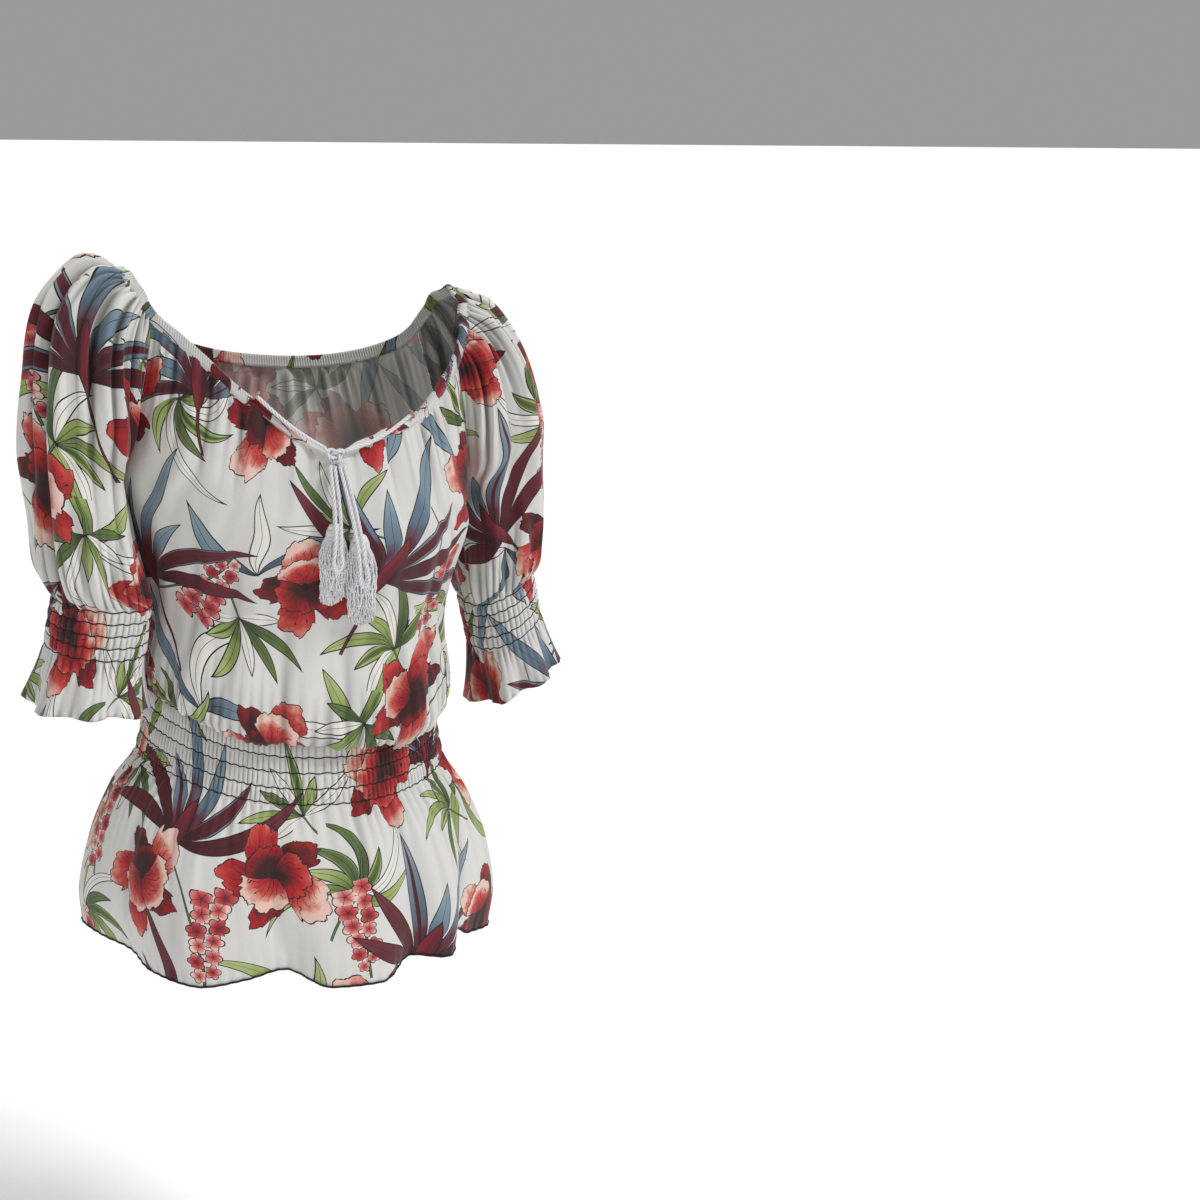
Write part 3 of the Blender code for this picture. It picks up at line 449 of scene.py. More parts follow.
# Each ring of a bloom: its petals, size and twist, how deep they are cut and how sharply.
PETAL_RINGS = ((5, 1.0, 0.0, -0.52, 1.9), (3, 0.60, 0.37, -0.15, 2.5))
PETAL_VEINS = 7
# Half the ink line of each kind, as a share of its size.
INK_WIDTH = {"burst": 0.0034, "spray": 0.0070, "leaf": 0.0046}

# Colours of the print's inks, from a motif's heart to its rim.
INK_COLOUR = "#17161C"
PAPER_COLOUR = "#E6E2DC"
MOTTLE_COLOUR = "#D3D0CC"
BLOOM_HEART = "#24060A"
BLOOM_STOPS = (
    (0.0, "#3E070C"), (0.22, "#7E1017"), (0.52, "#B01A20"),
    (0.76, "#C4473F"), (0.90, "#D68F80"), (1.0, "#E6C2B4"),
)
BUD_STOPS = ((0.0, "#3E0912"), (1.0, "#8C2030"))
BURST_STOPS = ((0.0, "#4A0F1C"), (0.26, "#5E2434"), (0.42, "#5C6F80"), (0.75, "#7C919F"), (1.0, "#97A8B3"))
WINE_STOPS = ((0.0, "#33070F"), (0.6, "#5A121E"), (1.0, "#74303C"))
BLUE_STOPS = ((0.0, "#3F5060"), (0.45, "#6A7F90"), (1.0, "#93A6B2"))
GREEN_STOPS = ((0.0, "#4A5A2E"), (0.40, "#8B9F55"), (1.0, "#B9C486"))
DARK_STOPS = ((0.0, "#374628"), (1.0, "#6B8045"))
SPIKE_STOPS = ((0.0, "#8E1C26"), (0.45, "#C4484C"), (0.85, "#DE9A90"), (1.0, "#EAC8BC"))

# Where on the print each sleeve, the back and the edges of the neck are cut.
SLEEVE_PRINT = {"right": (0.13, 0.30), "left": (-0.03, 0.62)}
BACK_PRINT = 0.27
EDGE_PRINT = 0.631

SLEEVES = {"right": (-1, SLEEVE_RIGHT), "left": (1, SLEEVE_LEFT)}

# Length of one turn of the plies, in metres.
CORD_PITCH = 0.0130
YARN_PITCH = 0.0060
EYELET_PITCH = 0.0012
THREAD_PITCH = 0.0014

# Threads: radius of a row and of the overlocked edge, and length of their stitches, in metres.
THREAD_RADIUS = 0.00062
THREAD_STITCH = 0.0036
THREAD_PROUD = 0.0004  # above the cloth
OVERLOCK_RADIUS = 0.0013
OVERLOCK_STITCH = 0.0026
EYELET_WIDE = 0.0034
EYELET_HIGH = 0.0031
EYELET_THREAD = 0.0013

# Yarns of the tassels: radius, how far it varies, and how far they sway and crinkle aside.
YARN_RADIUS = 0.00080
YARN_VARIES = 0.00010
YARN_SWAY = 0.0015
YARN_CRINKLE = 0.00045
BINDING_TURNS = 4
BINDING_HIGH = 0.0036
BINDING_RADIUS = 0.0007

# Gathers of the casing and of the V's edge: how many, their depth and the cloth's fullness.
CASING_GATHERS = (330, 0.0014, 1.25)
EDGE_GATHERS = (9, 0.0002, 1.02)
CASING_CALM = (14, 3)  # how often its up vectors and its points are evened out
EDGE_CALM = (4, 0)
EDGE_PAST = 0.003  # how far the V's edge runs past each eyelet, as a share across

# Edges of the neck: height above the cloth's edge and distance out from it, in metres.
CASING_PROFILE = (
    (-0.0026, 0.0027), (0.0004, 0.0024), (0.0030, 0.0020), (0.0058, 0.0017), (0.0080, 0.0011),
    (0.0092, 0.0001), (0.0082, -0.0009), (0.0058, -0.0013), (0.0030, -0.0012), (-0.0030, -0.0010),
)
EDGE_PROFILE = (
    (-0.0075, 0.0004), (-0.0055, 0.0009), (-0.0025, 0.0010), (0.0000, 0.0008), (0.0009, 0.0000),
    (0.0002, -0.0014), (-0.0060, -0.0016),
)

# The camera: degrees to the wearer's right and up, distance and aim in metres, roll in degrees.
CAMERA_TURN = -17
CAMERA_RISE = 17
CAMERA_FAR = 2.2
CAMERA_LENS = 68
CAMERA_CENTRE = (0.0, 0.0, -0.34)
CAMERA_AIM = (0.325, 0.0, -0.330)
CAMERA_ROLL = 2.6

# Floor height, well below the hem, and half its width. Soft lamps: name, place that it shines from,
# strength and the angle in degrees over which it is spread.
FLOOR = -1.10
FLOOR_HALF = 14.0
SURROUND_COLOUR = "#FAFAFA"
SURROUND_STRENGTH = 0.34
LAMPS = (
    ("key", (1.5, -1.5, 2.3), 1.80, 14),
    ("side", (-2.2, -1.1, 0.6), 0.20, 30),
    ("back", (0.4, 1.6, 1.4), 1.3, 20),
)
LAMP_AIM = (0.0, 0.0, -0.33)


# ---------------------------------------------------------------- tables to surfaces


def ramp(x, start, end):
    """0 up to the start and 1 from the end on, with a straight line between them, either way round."""
    return np.clip((x - start) / (end - start), 0, 1)


def from_ends(across, width):
    """0 at both ends of a run from 0 to 1, and 1 from this width inwards."""
    return ramp(np.minimum(across, 1 - across), 0, width)


def unit(vectors):
    """Vectors divided by their lengths."""
    return vectors / np.maximum(np.linalg.norm(vectors, axis=-1, keepdims=True), 1e-12)


def run_along(path):
    """Distance of each point of a path from its first one, along the path."""
    return np.concatenate([[0], np.cumsum(np.linalg.norm(np.diff(path, axis=0), axis=1))])


def cubic(xs, ys, slopes, x):
    """Cubic from point to point with these slopes at them. xs must rise, and ys may hold whole rows."""
    i = np.clip(np.searchsorted(xs, x) - 1, 0, len(xs) - 2)
    more = (..., *(None,) * (ys.ndim - 1))
    step = np.asarray(xs[i + 1] - xs[i])[more]
    t = np.clip(np.asarray(x - xs[i])[more] / step, 0.0, 1.0)
    return (
        ys[i] * (1 + 2 * t) * (1 - t) ** 2
        + ys[i + 1] * t * t * (3 - 2 * t)
        + step * slopes[i] * t * (1 - t) ** 2
        + step * slopes[i + 1] * t * t * (t - 1)
    )


def curve(xs, ys, x):
    """Cubic through the points with the slopes of their neighbours."""
    return cubic(xs, ys, np.gradient(ys, xs, axis=0), x)


def smooth(xs, ys, x):
    """Monotone cubic through the points of a table, which must rise in xs."""
    slopes = np.diff(ys) / np.diff(xs)
    total = slopes[:-1] + slopes[1:]
    product = slopes[:-1] * slopes[1:]
    inner = np.where(product > 0, 2 * product / np.where(total == 0, 1, total), 0.0)
    return cubic(xs, ys, np.concatenate([[slopes[0]], inner, [slopes[-1]]]), np.asarray(x, float))


def read(table, names, name, at):
    """A column of a table at these values of its first column."""
    rows = np.array(table, float)
    return smooth(rows[:, 0], rows[:, names.index(name)], at)


def leaned(points):
    """The whole blouse hangs a little lower on the wearer's left: z less SLOPE times x."""
    points = np.array(points, float)
    points[..., 2] -= SLOPE * points[..., 0]
    return points


def lift(turn, z):
    """How much higher the sides of the waist sit than its middle: a squared cosine round the body."""
    near = ramp(z, WAIST_LIFT_FROM, BAND_BOTTOM) * ramp(z, WAIST_LIFT_TO, BAND_TOP)
    level = np.where(np.sin(turn) > 0, 1.0, 1.0 - WAIST_LIFT_BACK * np.abs(np.sin(turn)))
    middle = np.where(np.sin(turn) > 0, 0.0, 1.0 - WAIST_LIFT_BACK)
    return WAIST_LIFT * near * (np.cos(turn) ** 2 * level + np.sin(turn) ** 2 * middle)


def body(turn, z, out=0.0):
    """Superellipse ring at height z. Turn 0 is the wearer's left side, and a quarter turn the front."""
    turn, z = np.broadcast_arrays(np.asarray(turn, float), np.asarray(z, float))
    names = ("half_width", "front", "back")
    wide, front, back = (read(BODY, BODY_COLUMNS, name, z) + out for name in names)
    power = 2 / read(BODY, BODY_COLUMNS, "square", z)
    c, s = np.cos(turn), np.sin(turn)
    x = wide * np.sign(c) * np.abs(c) ** power
    y = -np.where(s > 0, front, back) * np.sign(s) * np.abs(s) ** power
    return np.stack([x, y, z + lift(turn, z)], -1)


def round_table(table, names, name, turn):
    """Reads a table that goes all the way round, by degrees."""
    return read(table, names, name, np.degrees(turn) % FULL_TURN)


def edge_turn(z, side):
    """How far in from the side the raglan seam lies at height z, in radians, by its table."""
    return np.radians(read(RAGLAN, RAGLAN_COLUMNS, side, z))


def front_top(across):
    """Upper edge of the front: its table, less the casing and the seam where there is a casing."""
    under = read(NECK, NECK_COLUMNS, "under_casing", across)
    return read(NECK, NECK_COLUMNS, "z", across) - (CASING_HIGH + SEAM) * under


def back_top(across):
    """Upper edge of the back: a dip like a broad half sine, less the casing and the seam."""
    return RAGLAN_BACK_TOP - NECK_BACK_DIP * np.sin(np.pi * across) ** 0.8 - CASING_HIGH - SEAM


def fold_rows(turn, bulge, drop):
    """The stretch that turns under, from the seam on the waistband out and up to the body. Each row is so
    far out from the band's ring, raised by the second number and lowered by a share of the drop."""
    steps = (
        (-WALL, FOLD_RISE, 0.0),
        (FOLD_OUT - 0.0002, FOLD_RISE, 0.0),
        (FOLD_OUT, 0.0, -0.55),
        (0.5 * (bulge + FOLD_OUT), 0.0, -1.0),
        (bulge, 0.0, -0.5),
    )
    ring = body(turn, BAND_TOP)
    flat = body(turn, BAND_TOP, 1.0) - ring
    rows = []
    for out, rise, fall in steps:
        row = ring + flat * np.broadcast_to(out, turn.shape)[:, None]
        row[:, 2] += rise + fall * drop
        rows.append(row)
    return rows


def panel_rows(front, across):
    """The front's or back's own rows, from the waistband up to the neck, as the solid has them: the hang
    over the band is a bell, and the gathers of neck and band are cosines that fade away from them."""
    rows, waves = (FRONT_ROWS, FRONT_GATHERS) if front else (BACK_ROWS, BACK_GATHERS)
    first = 0.0 if front else math.pi
    side = "front" if front else "back"
    flat_turn = first + np.pi * across
    bulge = round_table(BLOUSE, BLOUSE_COLUMNS, "bulge", flat_turn)
    drop = round_table(BLOUSE, BLOUSE_COLUMNS, "drop", flat_turn)
    top = front_top(across) if front else back_top(across)
    start = BAND_TOP + HANG_START
    z = start + (top - start) * (np.linspace(0, 1, rows) ** 1.08)[:, None]
    begin = first + edge_turn(z[:, :1], side)
    end = first + np.pi - edge_turn(z[:, -1:], side)
    turn = begin + (end - begin) * across
    loose = bulge * np.exp(-(((z - start) / HANG_REACH) ** 2))
    neck = ramp(z, top - NECK_REACH, top) ** 1.6 * (1 - 0.75 * ramp(z, top - NECK_CALM, top))
    neck = neck * np.cos(2 * np.pi * waves * across + 0.9 * np.sin(5 * across))
    low = ramp(z, start + HANG_HIGH, start) ** 1.5
    low = low * np.cos(2 * np.pi * HANG_WAVES * across + 1.2 * np.sin(4 * across))
    out = loose + from_ends(across, 0.06) * (NECK_DEPTH * neck + HANG_DEPTH * low)
    return np.concatenate([np.array(fold_rows(flat_turn, bulge, drop)), body(turn, z, out)])


def through(rows, count):
    """Rows evenly spaced along a cubic through the given ones, and how far up each is, from 0 to 1."""
    step = np.linalg.norm(np.diff(rows, axis=0), axis=-1).mean(1)
    run = np.concatenate([[0], np.cumsum(step)])
    at = np.linspace(0, run[-1], count)
    return curve(run, rows, at), at / run[-1]


def seam_point(z, front, sign):
    """Point on the raglan seam at height z on the sleeve's side."""
    turn = edge_turn(z, "front" if front else "back")
    spot = body(turn if front else -turn, z)
    spot[..., 0] *= sign
    return spot


def sleeve_section(table, down, sign, around):
    """One section of a sleeve, from its front edge over the outside to its back edge."""
    values = {n: float(read(table, SLEEVE_TABLE, n, down)) for n in SLEEVE_TABLE}
    seam = min(max(values["seam"], 0.0), 1.0)
    front_z = NECK[0 if sign > 0 else -1][1] - CASING_HIGH - SEAM
    back_z = RAGLAN_BACK_TOP - CASING_HIGH - SEAM
    front = seam_point(np.array(front_z + (UNDERARM - front_z) * seam), True, sign)
    back = seam_point(np.array(back_z + (UNDERARM - back_z) * seam), False, sign)
    if seam >= 0.9999:
        front = np.array([sign * values["in_x"], values["in_y"], values["in_z"]])
        back = front.copy()
    crown = np.array([sign * values["out_x"], values["out_y"], values["out_z"]])
    t = np.pi * around
    rise = np.sin(t) ** (1 + values["closed"])
    section = 0.5 * (front + back) + rise[:, None] * (crown - 0.5 * (front + back))
    section = section + np.cos(t)[:, None] * 0.5 * (front - back)
    section[:, 1] -= values["deep"] * np.sign(np.sin(2 * t)) * np.abs(np.sin(2 * t)) ** SLEEVE_ROUND
    return section


def sleeve_rows(table, sign, around):
    """The sleeve's own rows, from the neck to the cuff, with the ripples that the solid has: cosines at
    its head and its lower end, and a slower one that winds down the puff between them."""
    downs = np.linspace(0, 1, SLEEVE_ROWS + 1)
    rows = np.array([sleeve_section(table, d, sign, around) for d in downs])
    away = unit(rows - rows[:, 1:-1].mean(axis=1, keepdims=True))
    down, turn = downs[:, None], 2 * np.pi * around
    head = ramp(down, 0.55, 0) ** 0.8 * ramp(down, 0, 0.24)
    elbow = ramp(down, 0.55, 0.90) * ramp(down, 1, 0.95)
    ripple = HEAD_DEPTH * head * np.cos(SLEEVE_GATHERS * turn + 0.8)
    ripple = ripple + ELBOW_DEPTH * elbow * np.cos(SLEEVE_GATHERS * turn + 2.0)
    ripple = ripple + PUFF_DEPTH * (1 - head) * np.cos(PUFF_WAVES * turn + 1.0 + 1.4 * down)
    return rows + away * (ripple * from_ends(around, 0.08) * ramp(down, 1, 0.92))[..., None]


def end_frame(table, sign):
    """Centre and axes of the sleeve's lower end: across it, through it and down the sleeve."""
    last = {n: table[-1][SLEEVE_TABLE.index(n)] for n in SLEEVE_TABLE}
    outer = np.array([sign * last["out_x"], last["out_y"], last["out_z"]])
    inner = np.array([sign * last["in_x"], last["in_y"], last["in_z"]])
    wide = 0.5 * (outer - inner)
    along = unit(np.array([sign * SLEEVE_LEAN[sign], 0.0, -1.0]))
    return 0.5 * (outer + inner), unit(wide), -FORWARD, along, np.linalg.norm(wide), last["deep"]


def end_rings(end, along_by, wide, deep, around, out):
    """Rings below the sleeve's end, one for each row of along_by, pushed out by out."""
    centre, across, through_it, along, half, depth = end
    turn = 2 * np.pi * around
    c = -np.cos(turn)
    s = -np.sign(np.sin(turn)) * np.abs(np.sin(turn)) ** CUFF_ROUND
    return (
        centre
        + along * along_by[..., None]
        + across * ((half * wide + out) * c)[..., None]
        + through_it * ((depth * deep + out) * s)[..., None]
    )


def arcs(rows):
    """Distance along each row from its middle column, and down each column from the first row."""
    side = np.linalg.norm(np.diff(rows, axis=1), axis=-1)
    u = np.concatenate([np.zeros((len(rows), 1)), np.cumsum(side, axis=1)], axis=1)
    middle = rows.shape[1] // 2
    down = np.linalg.norm(np.diff(rows, axis=0), axis=-1)
    v = np.concatenate([np.zeros((1, rows.shape[1])), np.cumsum(down, axis=0)], axis=0)
    v = 0.5 * v + 0.5 * v.mean(axis=1, keepdims=True)
    return u - u[:, middle : middle + 1], v


def pushed(rows, amount, flip=False, calm=0):
    """Every point moved out by its amount along the surface's normal, which is evened out along the rows
    as often as calm says, so that deep folds don't cross themselves."""
    normal = unit(np.cross(np.gradient(rows, axis=0), np.gradient(rows, axis=1)))
    for _ in range(calm):
        normal[:, 1:-1] = (normal[:, :-2] + normal[:, 1:-1] + normal[:, 2:]) / 3
    normal = unit(normal)
    return rows + (-normal if flip else normal) * amount[..., None]


def gathers(across, count, seed):
    """Uneven gathers, from -1 to 1: a cosine whose phase wanders."""
    wander = 1.9 * np.sin(6.3 * across + seed) + 1.1 * np.sin(23.0 * across + 2.1 * seed)
    wander = wander + 0.6 * np.sin(61.0 * across + 3.7 * seed)
    return np.cos(2 * np.pi * count * across + wander)


def pipes(across, count, seed):
    """Uneven rounded folds with sharp troughs between them, from -1 to 1: the size of a cosine whose
    phase wanders, stretched to that range."""
    return 2 * np.sqrt(0.5 + 0.5 * gathers(across, count, seed)) - 1


def gathered(across, kind):
    """Gathers of a kind, times its depth."""
    count, depth, seed = kind
    return depth * gathers(across, count, seed)


def piped(across, kind):
    """Pipes of a kind, times its depth."""
    count, depth, seed = kind
    return depth * pipes(across, count, seed)


def crinkled(across, kind, sway=0.0):
    """Small even waves along an edge."""
    count, depth = kind
    return depth * np.cos(2 * np.pi * count * across + sway)


def floored(amount, floor, ease):
    """Keeps amounts above a floor by a hyperbola that bends over the ease."""
    above = amount - floor
    return floor + 0.5 * (above + np.sqrt(above * above + ease * ease))


def hollows(amount, reach, depth):
    """How far each point lies below the mean of its neighbours along the row, from 0 to 1 at depth."""
    wide = np.pad(amount, ((0, 0), (reach, reach)), mode="edge")
    total = np.cumsum(np.pad(wide, ((0, 0), (1, 0))), axis=1)
    mean = (total[:, 2 * reach + 1 :] - total[:, : -2 * reach - 1]) / (2 * reach + 1)
    return np.clip((mean - amount) / depth, 0, 1)


def shaded(amount, small, large):
    """Painted shade: the darker of small hollows and large ones, each given as its reach, depth and
    strength.
    """
    kinds = (small, large)
    return np.maximum(*(strength * hollows(amount, reach, depth) for reach, depth, strength in kinds))


def creases(name, across, up):
    """Soft troughs and ridges: each falls off across its line as a bell and fades at its ends."""
    total = np.zeros(np.broadcast(across, up).shape)
    for x0, y0, x1, y1, wide, depth in CREASES[name]:
        line = np.array([x1 - x0, y1 - y0])
        share = ((across - x0) * line[0] + (up - y0) * line[1]) / (line @ line)
        side = ((across - x0) * line[1] - (up - y0) * line[0]) / np.linalg.norm(line)
        ends = np.clip(share * (1 - share) * 4, 0, 1) ** 0.7
        total += depth * ends * np.exp(-((side / wide) ** 2))
    return total


def ruched(share, channels, across, count, seed):
    """Cloth between rows of elastic thread: rounded tucks, which the threads draw in at each row."""
    channel = np.floor(np.clip(share, 0, 0.9999) * channels)
    between = 0.30 + 0.70 * np.abs(np.sin(np.pi * channels * share)) ** 0.7
    shifted = across + 0.0020 * np.sin(2.7 * channel + seed)
    tuck = 0.5 + 0.5 * gathers(shifted, count, seed + 0.20 * channel)
    uneven = 0.82 + 0.18 * gathers(across + 0.37 * channel, count / 7, 3.1 * channel + seed)
    return between * uneven * (0.08 + 0.92 * np.sqrt(tuck))


# ---------------------------------------------------------------- meshes


def grid_faces(rows, columns, closed=False, flip=False):
    """Quads of a grid of points, turned so that they face out."""
    i, j = np.meshgrid(np.arange(rows - 1), np.arange(columns - (not closed)), indexing="ij")
    k = (j + 1) % columns
    corners = [i * columns + j, (i + 1) * columns + j, (i + 1) * columns + k, i * columns + k]
    faces = np.stack(corners, -1).reshape(-1, 4)
    return faces[:, ::-1] if flip else faces


def mesh_object(name, points, faces, corners=None):
    """A smooth mesh. corners gives an attribute's name and its vector at each face corner."""
    mesh = bpy.data.meshes.new(name)
    mesh.from_pydata(np.asarray(points).reshape(-1, 3).tolist(), [], faces)
    mesh.polygons.foreach_set("use_smooth", np.ones(len(mesh.polygons), bool))
    for key, values in (corners or {}).items():
        layer = mesh.attributes.new(key, "FLOAT_VECTOR", "CORNER")
        layer.data.foreach_set("vector", np.ascontiguousarray(values, np.float32).ravel())
    mesh.update()
    made = bpy.data.objects.new(name, mesh)
    bpy.context.scene.collection.objects.link(made)
    return made


@lru_cache(maxsize=None)
def print_layout():
    """The motifs of one repeat by kind, a row of across, up, turn, size and squash for each. Sizes,
    turns and first places are drawn with a fixed seed. Then each motif is pushed away from those that
    it is too close to, harder from its own kind, over and over until they are spread out."""
    draw = np.random.default_rng(PRINT_SEED)
    kinds, sizes, turns = [], [], []
    for kind, count, small, large, turn_from, turn_to, turned_over, *_ in MOTIFS:
        for _ in range(count):
            kinds.append(kind)
            sizes.append(small + (large - small) * draw.random())
            turn = draw.uniform(turn_from, turn_to)
            turns.append(-turn if turned_over and draw.random() < turned_over else turn)
    kinds, size, turn = np.array(kinds), np.array(sizes), np.radians(turns)
    middle, own_reach, reach = np.array([row[-3:] for row in MOTIFS for _ in range(row[1])]).T * size
    same = (kinds[:, None] == kinds) & ~np.eye(len(kinds), dtype=bool)
    repeat = np.round(1000 * REPEAT)
    places = draw.random((PRINT_STARTS, len(kinds), 2))[PRINT_START] * repeat
    for _ in range(SPREAD_STEPS):
        away = places[:, None] - places
        away -= repeat * np.round(away / repeat)
        far = np.linalg.norm(away, axis=-1) + np.eye(len(kinds)) * FAR_OFF
        own = np.clip((own_reach[:, None] + own_reach + OWN_GAP) * same - far, 0, None) * OWN_PUSH
        other = np.clip((reach[:, None] + reach) * OTHER_GAP - far, 0, None)
        places = (places + SPREAD_PUSH * (((own + other) / far)[..., None] * away).sum(1)) % repeat
    roots = places - middle[:, None] * np.stack([np.cos(turn), np.sin(turn)], -1)
    roots = (roots + [repeat[0] / 2, 0]) % repeat - [repeat[0] / 2, 0]
    layout = {}
    for kind in MOTIF_MIDDLE:
        of_kind = kinds == kind
        squash = draw.uniform(*MOTIF_SQUASH.get(kind, (1.0, 1.0)), of_kind.sum())
        found = [*roots[of_kind].T, np.degrees(turn[of_kind]), size[of_kind]]
        layout[kind] = np.stack([*np.round(found), np.round(squash, 2)], -1)
    return layout


def stamped(flat, faces):
    """Each corner's place on the flat cloth with its share of painted shade and, for every kind of motif,
    its place in the frame of the face's nearest one: moved to it, turned back, divided by its size, with a
    seed as the third number."""
    found = {"flat": flat.reshape(-1, 3)[faces]}
    corner = found["flat"][..., :2]
    middle = corner.mean(axis=1)
    for kind, reach in MOTIF_MIDDLE.items():
        rows = print_layout()[kind]
        turn, size = np.radians(rows[:, 2]), rows[:, 3] / 1000
        spot = rows[:, :2] / 1000
        heart = spot + reach * size[:, None] * np.stack([np.cos(turn), np.sin(turn)], -1)
        gap = middle[:, None] - heart
        jump = REPEAT * np.round(gap / REPEAT)
        best = np.argmin(np.linalg.norm(gap - jump, axis=-1) / size, axis=1)
        moved = corner - (spot[best] + jump[np.arange(len(best)), best])[:, None]
        c, s = np.cos(turn[best])[:, None], np.sin(turn[best])[:, None]
        x = (moved[..., 0] * c + moved[..., 1] * s) / size[best][:, None]
        y = (moved[..., 1] * c - moved[..., 0] * s) / (size * rows[:, 4])[best][:, None]
        seed = np.broadcast_to(((best * GOLDEN_SHARE) % 1)[:, None], x.shape)
        found[kind] = np.stack([x, y, seed], -1)
    return found


def cloth(name, rows, flat, settings, flip=False):
    """Printed cloth on a grid of points, with its thickness inside the given surface."""
    faces = grid_faces(*rows.shape[:2], flip=flip)
    made = mesh_object(name, leaned(rows), faces.tolist(), stamped(flat, faces))
    for finish, faded in (("printed_viscose", 0.0), ("printed_viscose_back", 0.45)):
        found = bpy.data.materials.get(finish) or printed_viscose(finish, settings, faded)
        made.data.materials.append(found)
    wall = made.modifiers.new("Thickness", "SOLIDIFY")
    wall.thickness = settings.thickness
    wall.offset = -1.0
    wall.use_even_offset = False
    wall.material_offset = 1
    return made


def rings(path, side, radius, sides):
    """Rings round a path: radius times a turning mix of the side vector and the one square to it."""
    along = unit(np.gradient(path, axis=0))
    side = unit(side - along * (side * along).sum(1, keepdims=True))
    other = np.cross(along, side)
    turn = 2 * np.pi * (np.arange(sides) / sides)
    mix = np.cos(turn)[None, :, None] * side[:, None] + np.sin(turn)[None, :, None] * other[:, None]
    return path[:, None] + np.broadcast_to(radius, (len(path), sides))[..., None] * mix


def tubes(name, shapes, material):
    """One mesh of closed tubes, each a grid of rings with its two ends filled by fans.
    The corners of the attribute run hold the distance along, the share round and nothing."""
    points, faces, runs, base = [], [], [], 0
    for shape in shapes:
        rows, sides = shape.shape[:2]
        grid = grid_faces(rows, sides, closed=True)
        run = run_along(shape.mean(axis=1))
        j = np.arange(sides)
        k = (j + 1) % sides
        tip, top = rows * sides + np.array([0, 1])[:, None] + 0 * j
        first = np.stack([j, k, tip], -1)
        last = np.stack([(rows - 1) * sides + k, (rows - 1) * sides + j, top], -1)
        share = grid % sides / sides
        share[(grid % sides == 0) & (share.max(axis=1, keepdims=True) > 0.5)] = 1.0
        runs.append(np.stack([run[grid // sides], share, 0 * share], -1).reshape(-1, 3))
        runs.append(np.zeros((6 * sides, 3)))
        points.append(np.concatenate([shape.reshape(-1, 3), shape[[0, -1]].mean(axis=1)]))
        faces.extend((grid + base).tolist() + (first + base).tolist() + (last + base).tolist())
        base += rows * sides + 2
    made = mesh_object(name, np.concatenate(points), faces, {"run": np.concatenate(runs)})
    made.data.materials.append(material)
    return made


# ---------------------------------------------------------------- materials


def linear(code):
    """An sRGB hex colour as the linear values that Blender's sockets take."""
    parts = np.array([int(code[k : k + 2], 16) for k in (1, 3, 5)]) / 255
    values = np.where(parts <= 0.04045, parts / 12.92, ((parts + 0.055) / 1.055) ** 2.4)
    return (*(float(v) for v in values), 1.0)


def add(tree, kind, *values, output=0, stops=(), named=None, **settings):
    """Adds a node with its settings. Each value goes to its next live socket, and a named one to the
    socket of that name, as a link if it is one. The kind is the node's short name, with its operation
    or data type after a colon."""
    name, _, option = kind.partition(":")
    made = tree.nodes.new("ShaderNode" + name)
    if option:
        setattr(made, "data_type" if name == "Mix" else "operation", option)
    for key, value in settings.items():
        setattr(made, key, value)
    for number, (position, colour) in enumerate(stops):
        marks = made.color_ramp.elements
        mark = marks[number] if number < 2 else marks.new(position)
        mark.position = position
        mark.color = linear(colour)
    places = list(zip([s for s in made.inputs if s.enabled], values))
    places += [(made.inputs[key], value) for key, value in (named or {}).items()]
    for socket, value in places:
        if isinstance(value, bpy.types.NodeSocket):
            tree.links.new(value, socket)
        else:
            socket.default_value = value
    found = [s for s in made.outputs if s.enabled]
    return found if output is None else found[output]


def fresh(name):
    """A new material, and the function that adds a node to it."""
    made = bpy.data.materials.new(name)
    made.use_nodes = True
    made.node_tree.nodes.clear()
    return made, partial(add, made.node_tree)


def motif_frame(m, kind):
    """A motif's own x, y and seed, and a slow noise over it, about nothing."""
    x, y, seed = m("SeparateXYZ", m("Attribute", attribute_name=kind, output=1), output=None)
    lifted = m("CombineXYZ", x, y, m("Math:MULTIPLY", seed, SEED_APART))
    return x, y, seed, m("Math:SUBTRACT", m("TexNoise", lifted, 4.5, 2.0), 0.5)


def polar(m, x, y):
    """Distance from a motif's root and the share of a turn round it."""
    radius = m("VectorMath:LENGTH", m("CombineXYZ", x, y, 0.0))
    return radius, m("Math:DIVIDE", m("Math:ARCTAN2", y, x), 2 * math.pi)


def parabola(m, t, height):
    """Nothing where t is 0 and 1, with a quarter of the height between them."""
    return m("Math:MULTIPLY", m("Math:MULTIPLY", t, m("Math:SUBTRACT", 1.0, t)), height)


def painted(m, below, fill, mask, ink):
    """A filled shape over what lies below it, with its ink lines on top."""
    return m("Mix:RGBA", ink, m("Mix:RGBA", mask, below, fill), linear(INK_COLOUR))


def varied(m, seed, number, rate):
    """A number from 0 to 1 that differs from petal to petal: half a sine of the seed and the number."""
    wave = m("Math:SINE", m("Math:MULTIPLY_ADD", number, rate, m("Math:MULTIPLY", seed, 9.7 * rate)))
    return m("Math:MULTIPLY_ADD", wave, 0.5, 0.5)


